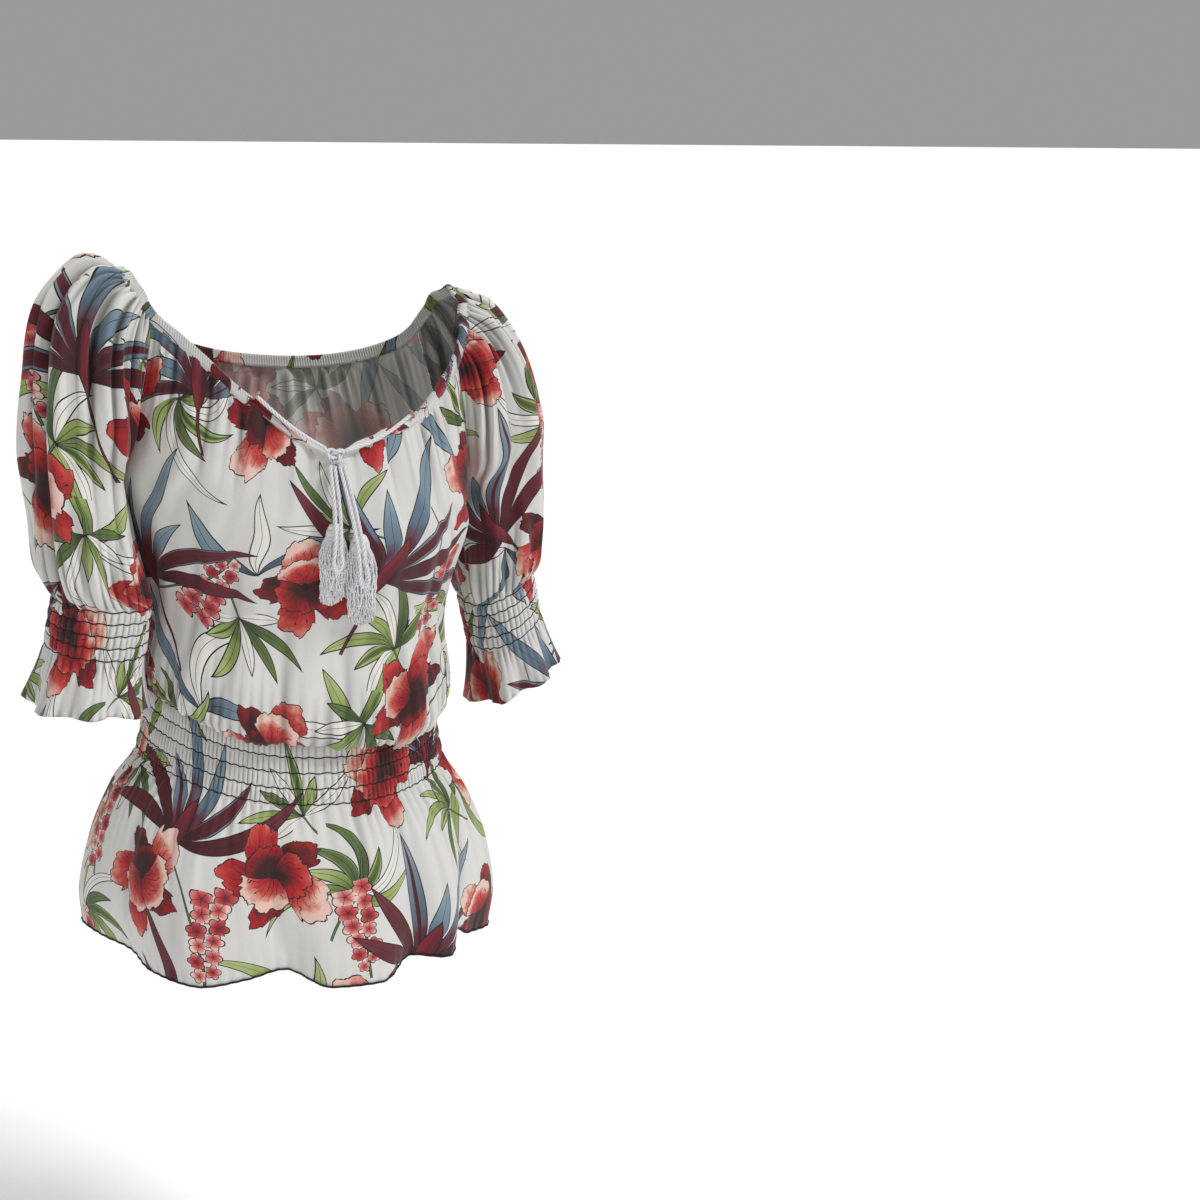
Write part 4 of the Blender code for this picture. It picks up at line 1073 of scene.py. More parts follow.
def blooms(m, below):
    """Ruffled flowers. A petal is a fold of the turn, and the folded angle takes its reach back, so that
    the outer petals part and end in a point and the inner ones close into a frilled cup. Veins are finer
    folds. A petal's own tone sets how soon its red fades to peach."""
    x, y, seed, ripple = motif_frame(m, "bloom")
    radius, angle = polar(m, x, y)
    lifted = m("Math:MULTIPLY", seed, SEED_APART)
    toward = m("CombineXYZ", m("Math:DIVIDE", x, radius), m("Math:DIVIDE", y, radius), lifted)
    ruffle = m("Math:SUBTRACT", m("TexNoise", toward, 4.0, 3.0), 0.5)
    colour = below
    swirl = m("Math:MULTIPLY", radius, m("Math:MULTIPLY_ADD", seed, 0.9, -0.45))
    for petals, size, twist, cut, sharp in PETAL_RINGS:
        share = m("Math:MULTIPLY_ADD", angle, petals, m("Math:MULTIPLY_ADD", seed, 3.0, twist))
        share = m("Math:ADD", share, swirl)
        fold = m("Math:MULTIPLY", m("Math:PINGPONG", share, 0.5), 2.0)
        petal = m("Math:FLOORED_MODULO", m("Math:ROUND", share), petals)
        tone = varied(m, seed, petal, 2.4)
        notch = m("Math:MULTIPLY_ADD", m("Math:POWER", fold, sharp), cut, 0.94)
        notch = m("Math:MULTIPLY_ADD", m("Math:SUBTRACT", tone, 0.5), 0.20, notch)
        frill = m("Math:SINE", m("Math:MULTIPLY_ADD", share, 19.0, m("Math:MULTIPLY", ruffle, 16.0)))
        notch = m("Math:MULTIPLY_ADD", frill, 0.022, notch)
        reach = m("Math:MULTIPLY", m("Math:MULTIPLY_ADD", ruffle, 0.50, notch), size)
        inside = m("Math:LESS_THAN", radius, reach)
        rim = m("Math:COMPARE", radius, reach, 0.011)
        gap = m("Math:MULTIPLY", m("Math:SUBTRACT", 1.0, fold), radius)
        side = m("Math:LESS_THAN", gap, 0.009 * petals / math.pi)
        finer = m("Math:MULTIPLY_ADD", share, float(PETAL_VEINS), m("Math:MULTIPLY", ripple, 2.6))
        vein = m("Math:MULTIPLY", m("Math:PINGPONG", finer, 0.5), radius)
        vein = m("Math:LESS_THAN", vein, 0.0045 * PETAL_VEINS * petals / (2 * math.pi))
        vein = m("Math:MULTIPLY", vein, m("Math:COMPARE", radius, 0.44 * size, 0.32 * size))
        lines = m("Math:MULTIPLY", m("Math:MAXIMUM", side, vein), inside)
        lines = m("Math:MAXIMUM", lines, rim)
        shade = m("Math:DIVIDE", radius, size)
        shade = m("Math:MULTIPLY_ADD", m("Math:SUBTRACT", tone, 0.78), 0.75, shade)
        shade = m("Math:MULTIPLY_ADD", ripple, 0.60, shade)
        fill = m("ValToRGB", shade, stops=BLOOM_STOPS)
        colour = painted(m, colour, fill, inside, lines)
    return m("Mix:RGBA", m("Math:LESS_THAN", radius, 0.07), colour, linear(BLOOM_HEART))


def blades(m, below, kind, outer, core=(), other=()):
    """Lance leaves that fan out of one root. Each is a fold of the turn; its half width is a parabola of
    the share of its own reach, and the off-line distance is the folded angle times the radius. Some have
    a broad dark heart in the core's colours, and some are only drawn in outline. Where there are other
    colours, motifs whose seed is over a half take those, and none has a heart."""
    count, spread, width, curl, plain = FANS[kind]
    x, y, seed, ripple = motif_frame(m, kind)
    radius, angle = polar(m, x, y)
    bend = m("Math:MULTIPLY", m("Math:MULTIPLY_ADD", seed, curl, -0.5 * curl), radius)
    share = m("Math:MULTIPLY", m("Math:ADD", angle, bend), count)
    blade = m("Math:ROUND", share)
    tone = varied(m, seed, blade, 2.4)
    within = m("Math:LESS_THAN", m("Math:ABSOLUTE", blade), spread * count + 0.5)
    reach = m("Math:MULTIPLY", m("Math:MULTIPLY_ADD", tone, 0.44, 0.55), within)
    t = m("Math:DIVIDE", radius, m("Math:MAXIMUM", reach, 0.01))
    half = parabola(m, t, 4 * width)
    off = m("Math:SUBTRACT", share, blade)
    off = m("Math:MULTIPLY", m("Math:MULTIPLY", off, radius), 2 * math.pi / count)
    bow = m("Math:MULTIPLY", parabola(m, t, 0.22 * width), varied(m, seed, blade, 3.7))
    off = m("Math:ABSOLUTE", m("Math:ADD", off, bow))
    inside = m("Math:LESS_THAN", off, half)
    ink = INK_WIDTH[kind]
    rim = m("Math:MULTIPLY", m("Math:COMPARE", off, half, ink), m("Math:LESS_THAN", t, 1.03))
    rib = m("Math:MULTIPLY", m("Math:LESS_THAN", off, 0.4 * ink), inside)
    shade = m("Math:MULTIPLY_ADD", ripple, 0.5, t)
    fill = m("ValToRGB", shade, stops=outer)
    if other:
        fill = m("Mix:RGBA", m("Math:GREATER_THAN", seed, 0.5), fill, m("ValToRGB", shade, stops=other))
    else:
        own = m("Math:MULTIPLY_ADD", varied(m, seed, blade, 5.1), 1.5, -0.35)
        heart = m("Math:LESS_THAN", off, m("Math:MULTIPLY", half, own))
        fill = m("Mix:RGBA", heart, fill, m("ValToRGB", shade, stops=core))
    drawn = m("Math:LESS_THAN", varied(m, seed, blade, 4.3), plain)
    fill = m("Mix:RGBA", drawn, fill, linear(PAPER_COLOUR))
    return painted(m, below, fill, inside, m("Math:MAXIMUM", rim, rib)), x, y, seed


def stem(m, below, kind, x, y, seed):
    """A curved line behind a root: the off-line distance less a square of x, under half its width."""
    colour, back, half = STEMS[kind]
    bow = m("Math:MULTIPLY", m("Math:MULTIPLY", x, x), m("Math:SUBTRACT", seed, 0.5))
    off = m("Math:ABSOLUTE", m("Math:SUBTRACT", y, bow))
    within = m("Math:COMPARE", x, -0.5 * back, 0.5 * back)
    fill = m("Math:MULTIPLY", m("Math:LESS_THAN", off, half), within)
    line = m("Math:MULTIPLY", m("Math:COMPARE", off, half, 0.35 * half), within)
    return painted(m, below, linear(colour), fill, line)


def bud(m, below, x, y):
    """A bud over the root of a fan, pointed at both ends: its half width is a parabola along x."""
    t = m("Math:DIVIDE", m("Math:ADD", x, 0.10), 0.40)
    half = parabola(m, t, 0.23)
    off = m("Math:ABSOLUTE", y)
    fill = m("ValToRGB", m("Math:MULTIPLY_ADD", y, 7.0, 0.5), stops=BUD_STOPS)
    rim = m("Math:MULTIPLY", m("Math:COMPARE", off, half, 0.004), m("Math:COMPARE", t, 0.5, 0.52))
    rib = m("Math:MULTIPLY", m("Math:LESS_THAN", off, 0.0012), m("Math:COMPARE", t, 0.4, 0.4))
    return painted(m, below, fill, m("Math:LESS_THAN", off, half), m("Math:MAXIMUM", rim, rib))


def spikes(m, below):
    """Small blossoms up a stem: cells along x, shifted half a cell from side to side, each five round
    petals about a point that strays a little, smaller towards the tip."""
    x, y, seed, ripple = motif_frame(m, "spike")
    side = m("Math:SIGN", y)
    along = m("Math:MULTIPLY_ADD", x, 7.0, m("Math:MULTIPLY", side, 0.25))
    number = m("Math:FLOOR", along)
    cell = m("Math:SUBTRACT", m("Math:FRACT", along), 0.5)
    stray = m("Math:SUBTRACT", varied(m, seed, m("Math:ADD", number, side), 2.7), 0.5)
    size = m("Math:MULTIPLY_ADD", number, -0.0095, 0.118)
    dx = m("Math:DIVIDE", m("Math:MULTIPLY_ADD", stray, 0.020, m("Math:DIVIDE", cell, 7.0)), size)
    dy = m("Math:SUBTRACT", m("Math:DIVIDE", m("Math:ABSOLUTE", y), size), 0.80)
    dy = m("Math:MULTIPLY_ADD", stray, 0.30, dy)
    near = m("VectorMath:LENGTH", m("CombineXYZ", dx, dy, 0.0))
    petals = m("Math:MULTIPLY_ADD", m("Math:ARCTAN2", dy, dx), 2.5, m("Math:MULTIPLY", stray, 9.0))
    lobes = m("Math:ABSOLUTE", m("Math:COSINE", petals))
    reach = m("Math:MULTIPLY_ADD", lobes, 0.30, m("Math:MULTIPLY_ADD", ripple, 0.7, 0.66))
    within = m("Math:COMPARE", number, 2.5, 2.9)
    inside = m("Math:MULTIPLY", m("Math:LESS_THAN", near, reach), within)
    rim = m("Math:MULTIPLY", m("Math:COMPARE", near, reach, 0.055), within)
    part = m("Math:MULTIPLY", m("Math:LESS_THAN", m("Math:MULTIPLY", lobes, near), 0.05), inside)
    shade = m("Math:MULTIPLY_ADD", stray, 0.5, m("Math:ADD", near, ripple))
    fill = m("ValToRGB", shade, stops=SPIKE_STOPS)
    colour = stem(m, below, "spike", m("Math:SUBTRACT", x, 0.95), y, seed)
    return painted(m, colour, fill, inside, m("Math:MAXIMUM", rim, part))


def printed_viscose(name, settings, faded):
    """Light viscose in plain weave, screen printed. Fibres scatter the light softly and give a little
    sheen at grazing angles. faded is how far the print has sunk to the cloth's colour, as on its back."""
    made, m = fresh(name)
    u, v, painted_shade = m("SeparateXYZ", m("Attribute", attribute_name="flat", output=1), output=None)
    flat = m("CombineXYZ", u, v, 0.0)
    mottle = m("TexNoise", flat, 14.0, 3.0)
    colour = m("Mix:RGBA", mottle, settings.ground, linear(MOTTLE_COLOUR))
    colour, *_ = blades(m, colour, "leaf", GREEN_STOPS, other=BLUE_STOPS)
    colour, x, y, seed = blades(m, colour, "spray", GREEN_STOPS, DARK_STOPS)
    colour = stem(m, colour, "spray", x, y, seed)
    colour = spikes(m, colour)
    colour, x, y, seed = blades(m, colour, "burst", BURST_STOPS, WINE_STOPS)
    colour = stem(m, colour, "burst", x, y, seed)
    colour = bud(m, colour, x, y)
    colour = blooms(m, colour)
    if faded:
        colour = m("Mix:RGBA", faded, colour, settings.ground)
    # Painted shade: the colour is darkened where the third number of the flat attribute says, at the
    # bottoms of folds, tucks and gathers and under the body's overhang over the band.
    shade = m("Math:MULTIPLY_ADD", painted_shade, -0.58, 1.0)
    colour = m("VectorMath:MULTIPLY", colour, m("CombineXYZ", shade, shade, shade))
    # Threads lie about 0.3 mm apart in such cloth. They are drawn 1.1 mm apart so that they show.
    thread_turn = 2 * math.pi / 0.0011
    weft = m("Math:SINE", m("Math:MULTIPLY", u, thread_turn))
    warp = m("Math:SINE", m("Math:MULTIPLY", v, thread_turn))
    slub = m("TexNoise", m("VectorMath:MULTIPLY", flat, (90.0, 900.0, 1.0)), 1.0, 2.0)
    crinkle = m("TexNoise", flat, 55.0, 3.0, 0.55)
    height = m("Math:MULTIPLY_ADD", m("Math:MULTIPLY", weft, warp), 0.10, m("Math:MULTIPLY", slub, 0.35))
    height = m("Math:MULTIPLY_ADD", crinkle, 2.2, height)
    dent = m("Bump", 0.55, 0.0006, 0.1, height)
    finish = {"Base Color": colour, "Roughness": 0.78, "Sheen Weight": 0.18, "Sheen Roughness": 0.45}
    m("OutputMaterial", m("BsdfPrincipled", named={**finish, "Normal": dent}), output=None)
    return made


def yarn(name, code, plies, pitch, rough, sheen, dark=-0.50):
    """Spun yarn. Its plies twist round each other, with painted shade in the grooves between them, and the
    fibres lie aslant on each ply and scatter the light, so it looks soft and matt."""
    made, m = fresh(name)
    s, share, _ = m("SeparateXYZ", m("Attribute", attribute_name="run", output=1), output=None)
    turned = m("Math:MULTIPLY_ADD", s, -1 / pitch, share)
    lobe = m("Math:ABSOLUTE", m("Math:COSINE", m("Math:MULTIPLY", turned, math.pi * plies)))
    fibre = m("Math:SINE", m("Math:MULTIPLY_ADD", s, 9000.0, m("Math:MULTIPLY", share, 16 * math.pi)))
    fuzz = m("TexNoise", m("TexCoord", output=3), 1500.0, 2.0)
    height = m("Math:ADD", m("Math:MULTIPLY", fibre, 0.22), m("Math:MULTIPLY_ADD", lobe, 1.2, fuzz))
    # Painted shade in the grooves between the plies: the colour is darkened by dark times this.
    groove_shade = m("Math:POWER", m("Math:SUBTRACT", 1.0, lobe), 3.0)
    tone = m("Math:MULTIPLY_ADD", groove_shade, dark, 1.0)
    tone = m("Math:MULTIPLY", tone, m("Math:MULTIPLY_ADD", fuzz, 0.30, 0.82))
    colour = m("VectorMath:MULTIPLY", m("CombineXYZ", tone, tone, tone), linear(code)[:3])
    dent = m("Bump", 0.7, 0.0005, 0.1, height)
    finish = {"Base Color": colour, "Roughness": rough, "Sheen Weight": sheen, "Normal": dent}
    m("OutputMaterial", m("BsdfPrincipled", named=finish), output=None)
    return made


def matt_paint(name, code):
    """Matt paint, rolled on: an even colour with the faint dimples that a roller leaves."""
    made, m = fresh(name)
    dent = m("Bump", 0.2, 0.0003, 0.1, m("TexNoise", m("TexCoord", output=3), 300.0, 3.0))
    finish = {"Base Color": linear(code), "Roughness": 0.85, "Normal": dent}
    m("OutputMaterial", m("BsdfPrincipled", named=finish), output=None)
    return made


# ---------------------------------------------------------------- cloth pieces


def belongs(piece, slot, *nodes):
    """Parents a piece to the root body and hides the CAD nodes that it stands for, if there are any. The
    slot is not used.
    """
    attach(piece, "root")
    if nodes:
        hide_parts(*nodes)
    return piece


def declare(piece, flat, *nodes, held="gathered"):
    """Parents a piece of cloth to the root body and hides the CAD nodes that it stands for. Its cut, flat,
    is not used.
    """
    belongs(piece, "cloth", *nodes)


def bodice(front, settings):
    """A body panel: rings of the solid, refined by a cubic, then pushed out by fine gathers at the neck
    and over the band, and by the listed folds."""
    name = "bodice_front" if front else "bodice_back"
    columns, count = BODICE_GRID[front]
    across = np.linspace(0, 1, columns)
    rows, up = through(panel_rows(front, across), count)
    rows, up = seam_in(rows), up[:, None]
    u, v = arcs(rows)
    under = read(NECK, NECK_COLUMNS, "under_casing", across) if front else 1.0
    neck = ramp(up, 0.72, 1) ** 1.4 * (0.25 + 0.75 * under) * (1 - 0.85 * ramp(up, 0.965, 0.995))
    low = ramp(up, 0.32, 0) ** 1.4 * ramp(up, 0, 0.05)
    uneven = 0.65 + 0.35 * gathers(across + 0.1 * up, 4, 0.2)
    fine = neck * gathered(across, NECK_GATHERS) + low * gathered(across, HANG_GATHERS)
    fine = fine + neck**0.6 * piped(across + 0.03 * up, NECK_PIPES)
    fine = fine + low * uneven * piped(across + 0.02 * up, HANG_PIPES)
    fine = fine + BODICE_UNEVEN * np.sin(19 * across + 7 * up) * np.sin(13 * up + 4 * across)
    relief = from_ends(across, 0.03) * (fine + 0.75 * creases(name, across, up))
    made = pushed(rows, relief, calm=BODICE_CALM)
    fuller = BODY_FULL + 0.33 * ramp(v, 0.16, 0) ** 2 + 0.20 * ramp(up, 0.7, 1) ** 2
    # Painted shade: darker in the hollows of the relief, and in the first rows, which turn under the body's
    # overhang over the band.
    dark = shaded(relief, (2, 0.0012, 1.0), (7, 0.0034, 0.8))
    dark = np.maximum(dark, 0.75 * ramp(v, 0.016, 0))
    flat = np.stack([-u * fuller + (0.0 if front else BACK_PRINT), v, dark], -1)
    declare(cloth(name + "_cloth", made, flat, settings), flat, name)


def seam_in(rows):
    """Moves the first and last columns in along the cloth by half the seam's gap."""
    rows = rows.copy()
    for edge, inside in ((0, 2), (-1, -3)):
        along = rows[:, inside] - rows[:, edge]
        length = np.linalg.norm(along, axis=-1, keepdims=True)
        rows[:, edge] += along / np.maximum(length, 1e-9) * np.minimum(SEAM / 2, 0.4 * length)
    return rows


def sleeve_base(sign, table, around):
    """Rows of the puff, the cuff and the frill with nothing pushed out: puffed sections, a plain tube at
    the elbow, and rings that flare below it."""
    puff, _ = through(sleeve_rows(table, sign, around), PUFF_STEPS)
    end = end_frame(table, sign)
    steps = np.linspace(0, CUFF_LONG, CUFF_CHANNELS * CUFF_STEPS + 1)[:, None]
    cuff = end_rings(end, steps, 1, 1, around, 0.0)
    fall = np.linspace(0, 1, FRILL_STEPS + 1)[1:, None]
    wide, deep = (read(RUFFLE, RUFFLE_TABLE, name, fall) for name in ("wide", "deep"))
    turn = 2 * np.pi * around
    wave = np.cos(RUFFLE_WAVES * turn + 0.6) + 0.4 * np.cos(3 * turn)
    down = CUFF_LONG + RUFFLE_LONG[sign] * fall + RUFFLE_SWING * fall * np.cos(2 * turn)
    return puff[:-1], cuff, end_rings(end, down, wide, deep, around, RUFFLE_DEPTH * fall * wave)


def puff_relief(side, sign, around, rows):
    """Gathers at the sleeve's head, pipes that run down from there, gathers into the cuff and the
    listed folds, none below a floor."""
    down = np.linspace(0, 1, rows)[:, None]
    head = ramp(down, 0.42, 0) ** 1.1
    low = ramp(down, 0.72, 1) ** 1.2
    count, depth, seed, reach = SLEEVE_PIPES[sign]
    uneven = 0.70 + 0.30 * gathers(around + 0.2 * down, 4, seed)
    running = ramp(down, reach, 0) ** 0.7 * ramp(down, 0, 0.08)
    fine = depth * running * uneven * (pipes(around + 0.02 * np.sin(3 * down), count, seed) + 0.45)
    fine = fine + head * gathered(around, HEAD_GATHERS) + low * piped(around, CUFF_PIPES)
    fine = fine + low**0.6 * (1 - low**4) * uneven * piped(around, ELBOW_PIPES)
    fine = fine + 1.2 * creases("sleeve_" + side, around, 0.62 * down)
    return from_ends(around, 0.04) * floored(fine, SLEEVE_FLOOR, FLOOR_EASE)


def frill_relief(around, rows):
    """Pleats that die away below the cuff, slower gathers and the small waves of the edge."""
    fall = np.linspace(0, 1, rows + 1)[1:, None]
    pleats = np.exp(-fall / 0.3) * ramp(fall, 0, 0.1) * gathered(around, FRILL_PLEATS)
    return pleats + fall * gathered(around, FRILL_GATHERS) + fall**6 * crinkled(around, FRILL_EDGE)


def sleeve_surface(side, sign, table):
    """A sleeve in one cloth, with the relief of its puff, the tucks of its cuff and the pleats of its
    frill. Gives its rows, its flat places and the number of the cuff's first row."""
    around = np.linspace(0, 1, SLEEVE_POINTS)
    puff, cuff, frill = sleeve_base(sign, table, around)
    base = np.concatenate([puff, cuff, frill])
    first, last = len(puff), len(puff) + len(cuff)
    share = np.linspace(0, 1, len(cuff))[:, None]
    tucks = CUFF_TUCK_DEPTH * ruched(share, CUFF_CHANNELS, around, CUFF_TUCKS, 0.3)
    relief = [puff_relief(side, sign, around, len(puff)), tucks, frill_relief(around, len(frill))]
    relief = np.concatenate(relief)
    made = pushed(base, relief, sign < 0, SLEEVE_CALM)
    made[first:last, :, 2] += CHANNEL_WANDER * gathers(around, CUFF_TUCKS / 2, 1.7)
    u, v = arcs(base)
    turning = np.linspace(PUFF_FULL, CUFF_FULL, PUFF_TURN)
    flaring = np.linspace(CUFF_FULL, FRILL_FULL, len(frill))
    fuller = [np.full(len(puff) - PUFF_TURN, PUFF_FULL), turning, np.full(len(cuff), CUFF_FULL), flaring]
    fuller = np.concatenate(fuller)[:, None]
    across, up = SLEEVE_PRINT[side]
    # Painted shade: darker in the hollows of the relief.
    dark = shaded(relief, (3, 0.0011, 1.0), (9, 0.0040, 0.9))
    return made, np.stack([sign * -u * fuller + across, up - v, dark], -1), first


def peplum_rows(front, across):
    """Rows of the band and the peplum from the top down, with nothing pushed out."""
    turn = (0.0 if front else math.pi) + np.pi * across
    band = body(turn, np.linspace(BAND_TOP, BAND_BOTTOM, BAND_CHANNELS * BAND_STEPS + 1)[:, None])
    hem = round_table(HEM, HEM_COLUMNS, "z", turn)
    out = round_table(HEM, HEM_COLUMNS, "out", turn)
    fall = np.linspace(0, 1, SKIRT_STEPS + 1)[1:, None]
    return band, body(turn, BAND_BOTTOM + (hem - BAND_BOTTOM) * fall, out * fall**1.3)


def peplum_surface(front, settings):
    """The band and the peplum of one half in one cloth: rounded tucks between the thread rows, pleats
    that die away below them, and the folds of the hem. Gives its rows and their flat places."""
    name = "peplum_front" if front else "peplum_back"
    across = np.linspace(0, 1, PEPLUM_POINTS)
    band, skirt = peplum_rows(front, across)
    base = seam_in(np.concatenate([band, skirt]))
    share = np.linspace(0, 1, len(band))[:, None]
    fall = np.linspace(0, 1, len(skirt) + 1)[1:, None]
    seed = 0.7 if front else 2.4
    tucks = BAND_TUCK_DEPTH * ruched(share, BAND_CHANNELS, across, settings.tucks, seed)
    pleats = PLEAT_DEPTH * np.exp(-fall / 0.15) * (1 + gathers(across, settings.pleats, seed + 1))
    uneven = 0.55 + 0.45 * gathers(across + 0.1 * fall, 5, seed)
    running = SKIRT_PIPE_DEPTH * np.exp(-fall / 0.35) * ramp(fall, 0, 0.1)
    pleats = pleats + running * uneven * pipes(across + 0.03 * fall, SKIRT_PIPES, seed)
    pleats = pleats + fall**8 * crinkled(across, HEM_EDGE, 2 * np.sin(9 * across))
    up = np.concatenate([0.34 * share, 0.34 + 0.66 * fall])
    quiet = from_ends(across, 0.02)
    relief = quiet * (np.concatenate([tucks, pleats]) + creases(name, across, up))
    made = pushed(base, relief, True)
    made[: len(band), :, 2] += CHANNEL_WANDER * quiet * gathers(across, settings.tucks / 2, seed + 4)
    _, v = arcs(base)
    # Painted shade: darker in the hollows of the relief, and a painted shadow across the top of the band,
    # under the body's overhang.
    dark = shaded(relief, (2, 0.0011, 1.0), (12, 0.0034, 0.8))
    dark = np.maximum(dark, 0.75 * ramp(v, 0.022, 0) ** 0.7)
    u = (0.5 - across + 0 * v) * HALF_PEPLUM + (0.0 if front else BACK_PRINT)
    return made, np.stack([u, -v, dark], -1)


# ---------------------------------------------------------------- neck


def neck_line():
    """Upper edges of the front, sleeves and back in one run, from the left eyelet round the back to the
    right one, with how each point goes up and out, as the solid's casing has them. The front's next
    column at each end is lowered, so that the casing reaches the eyelets."""
    across = np.linspace(0, 1, FRONT_COLUMNS + 1)
    front = panel_rows(True, across)
    back = panel_rows(False, np.linspace(0, 1, BACK_COLUMNS + 1))
    under = read(NECK, NECK_COLUMNS, "under_casing", across) > 0.5
    beyond = ~under & (np.roll(under, 1) | np.roll(under, -1))
    front[:, beyond, 2] -= CASING_HIGH + SEAM
    under = under | beyond
    left = np.flatnonzero(under & (across < 0.5))[::-1]
    right = np.flatnonzero(under & (across > 0.5))
    around = np.linspace(0, 1, SLEEVE_COLUMNS + 1)
    near = sleeve_rows(SLEEVE_LEFT, 1, around)
    far = sleeve_rows(SLEEVE_RIGHT, -1, around)
    runs = [
        (front[-1, left[:-1]], front[-3, left[:-1]]),
        (near[0, 1:-1], near[1, 1:-1]),
        (back[-1, -2:0:-1], back[-3, -2:0:-1]),
        (far[0, 1:-1][::-1], far[1, 1:-1][::-1]),
        (front[-1, right[::-1][1:]], front[-3, right[::-1][1:]]),
    ]
    tops = np.concatenate([r[0] for r in runs])
    up = tops - np.concatenate([r[1] for r in runs])
    return lined(tops, up, CASING_CALM, CASING_POINTS)


def lined(tops, up, calm, count):
    """Evens out a run of points and their up vectors, and gives the outward ones square to both."""
    up, run = unit(up), run_along(tops)
    for _ in range(calm[0]):
        up[1:-1] = (up[:-2] + up[1:-1] + up[2:]) / 3
    for _ in range(calm[1]):
        tops[1:-1] = 0.15 * tops[:-2] + 0.7 * tops[1:-1] + 0.15 * tops[2:]
    at = np.linspace(0, run[-1], count)
    tops, up = curve(run, tops, at), unit(straight(run, up, at))
    return tops, up, unit(np.cross(up, unit(np.gradient(tops, axis=0)))), at


def straight(run, points, at):
    """Points in straight lines between the given ones, at these distances along them."""
    return np.stack([np.interp(at, run, points[:, k]) for k in range(3)], -1)


def folded_edge(name, line, profile, kind, settings, flip=False):
    """A turned-over edge: the profile, as height and distance out, is carried along the neck's line, and
    its outer half swells with fine gathers."""
    waves, depth, full = kind
    tops, up, outward, at = line
    high, out = np.array(profile).T
    swell = np.clip(np.sin(np.pi * np.linspace(0, 1, len(high))), 0, 1)[:, None]
    wave = 0.5 + 0.5 * gathers(at / at[-1], waves, 1.1)
    rise = high[:, None] + 0.35 * depth * swell**6 * (wave - 0.5)
    away = out[:, None] + np.sign(out[:, None]) * depth * swell * wave
    rows = tops + rise[..., None] * up + away[..., None] * outward
    v = run_along(np.array(profile))[:, None]
    # Painted shade: darker in the troughs of the gathers.
    dark = 0.8 * swell * (1 - wave) ** 1.5 * min(1.0, depth / 0.001)
    flat = np.stack([(at - at.mean()) * full + 0 * v, EDGE_PRINT + v + 0 * at, dark], -1)
    return cloth(name, rows, flat, settings, flip), flat


# ---------------------------------------------------------------- threads, cords and tassels


def rope(path, plies=3, sides=18):
    """Plies of the drawstring twisted together: the radius is two thirds of the full one plus a third of
    a folded cosine with a lobe for each ply, which turns once in each pitch along the path."""
    turn = np.arange(sides) / sides
    lobes = np.abs(np.cos(np.pi * plies * (turn[None] - run_along(path)[:, None] / CORD_PITCH)))
    return rings(path, FORWARD, CORD / 2 * (0.62 + 0.38 * lobes**0.7), sides)


def even(points):
    """Points along a smooth curve through these, about one step apart."""
    run = run_along(points)
    line = curve(run, points, np.linspace(0, run[-1], 400))
    length = run_along(line)
    return straight(length, line, np.linspace(0, length[-1], max(4, round(length[-1] / PATH_STEP) + 1)))


def lying(x, z, clear):
    """Point over the front's plain surface, this far in front of it."""
    names = ("half_width", "front", "square")
    wide, front, square = (read(BODY, BODY_COLUMNS, name, z) for name in names)
    y = -front * (1 - np.abs(x / wide) ** square) ** (1 / square) - clear
    return np.array([x, y, z])


def tie_path(share):
    """From an eyelet to the knot, lying over the V's edge."""
    columns = np.linspace(0, 1, FRONT_COLUMNS + 1)
    start = panel_rows(True, columns)[-1, round(share * FRONT_COLUMNS)]
    gap = unit(np.array([start[0] - KNOT[0], start[2] - KNOT[1]])) * (KNOT_RADIUS + 0.0004)
    t = np.linspace(0, 1, 9)
    x = start[0] + (KNOT[0] + gap[0] - start[0]) * t
    z = start[2] + 0.003 + (KNOT[1] + gap[1] - start[2] - 0.003) * t
    clear = EYELET_CLEAR + (KNOT_CLEAR - EYELET_CLEAR) * t
    return even(leaned(lying(x, z - TIE_SWAY * np.sin(np.pi * t), clear).T))


def loop_path(top_x, low_x, low_z, half_gap):
    """A loop of the bow: down one side, round and back up the other."""
    start = CORD_CLEAR + 1.1 * CORD
    share = np.linspace(0, 1, 6)
    sides = []
    for side in (-1, 1):
        x = top_x + (low_x - top_x) * share + side * half_gap * (0.75 + 0.25 * share)
        z = UNDER_KNOT + (low_z + 0.004 - UNDER_KNOT) * share
        sides.append(lying(x, z, start + (LOOP_CLEAR - start) * np.minimum(1, 1.8 * share)).T)
    low = lying(np.array([low_x]), np.array([low_z]), LOOP_CLEAR).T
    return even(leaned(np.concatenate([sides[0], low, sides[1][::-1]])))


def end_path(x, top_z, top_x):
    """The drawstring's end between the knot and its tassel's head, under the loops."""
    share = np.linspace(0, 1, 6)
    clear = CORD_CLEAR + (TASSEL_CLEAR - CORD_CLEAR) * share
    z = UNDER_KNOT + (top_z + 0.0004 - UNDER_KNOT) * share
    return even(leaned(lying(top_x + (x - top_x) * share, z, clear).T))


def cord_piece(node, path, material):
    """A stretch of the drawstring, a twisted tube along its path."""
    made = belongs(tubes(node + "_cord", [rope(path)], material), "cord", node)


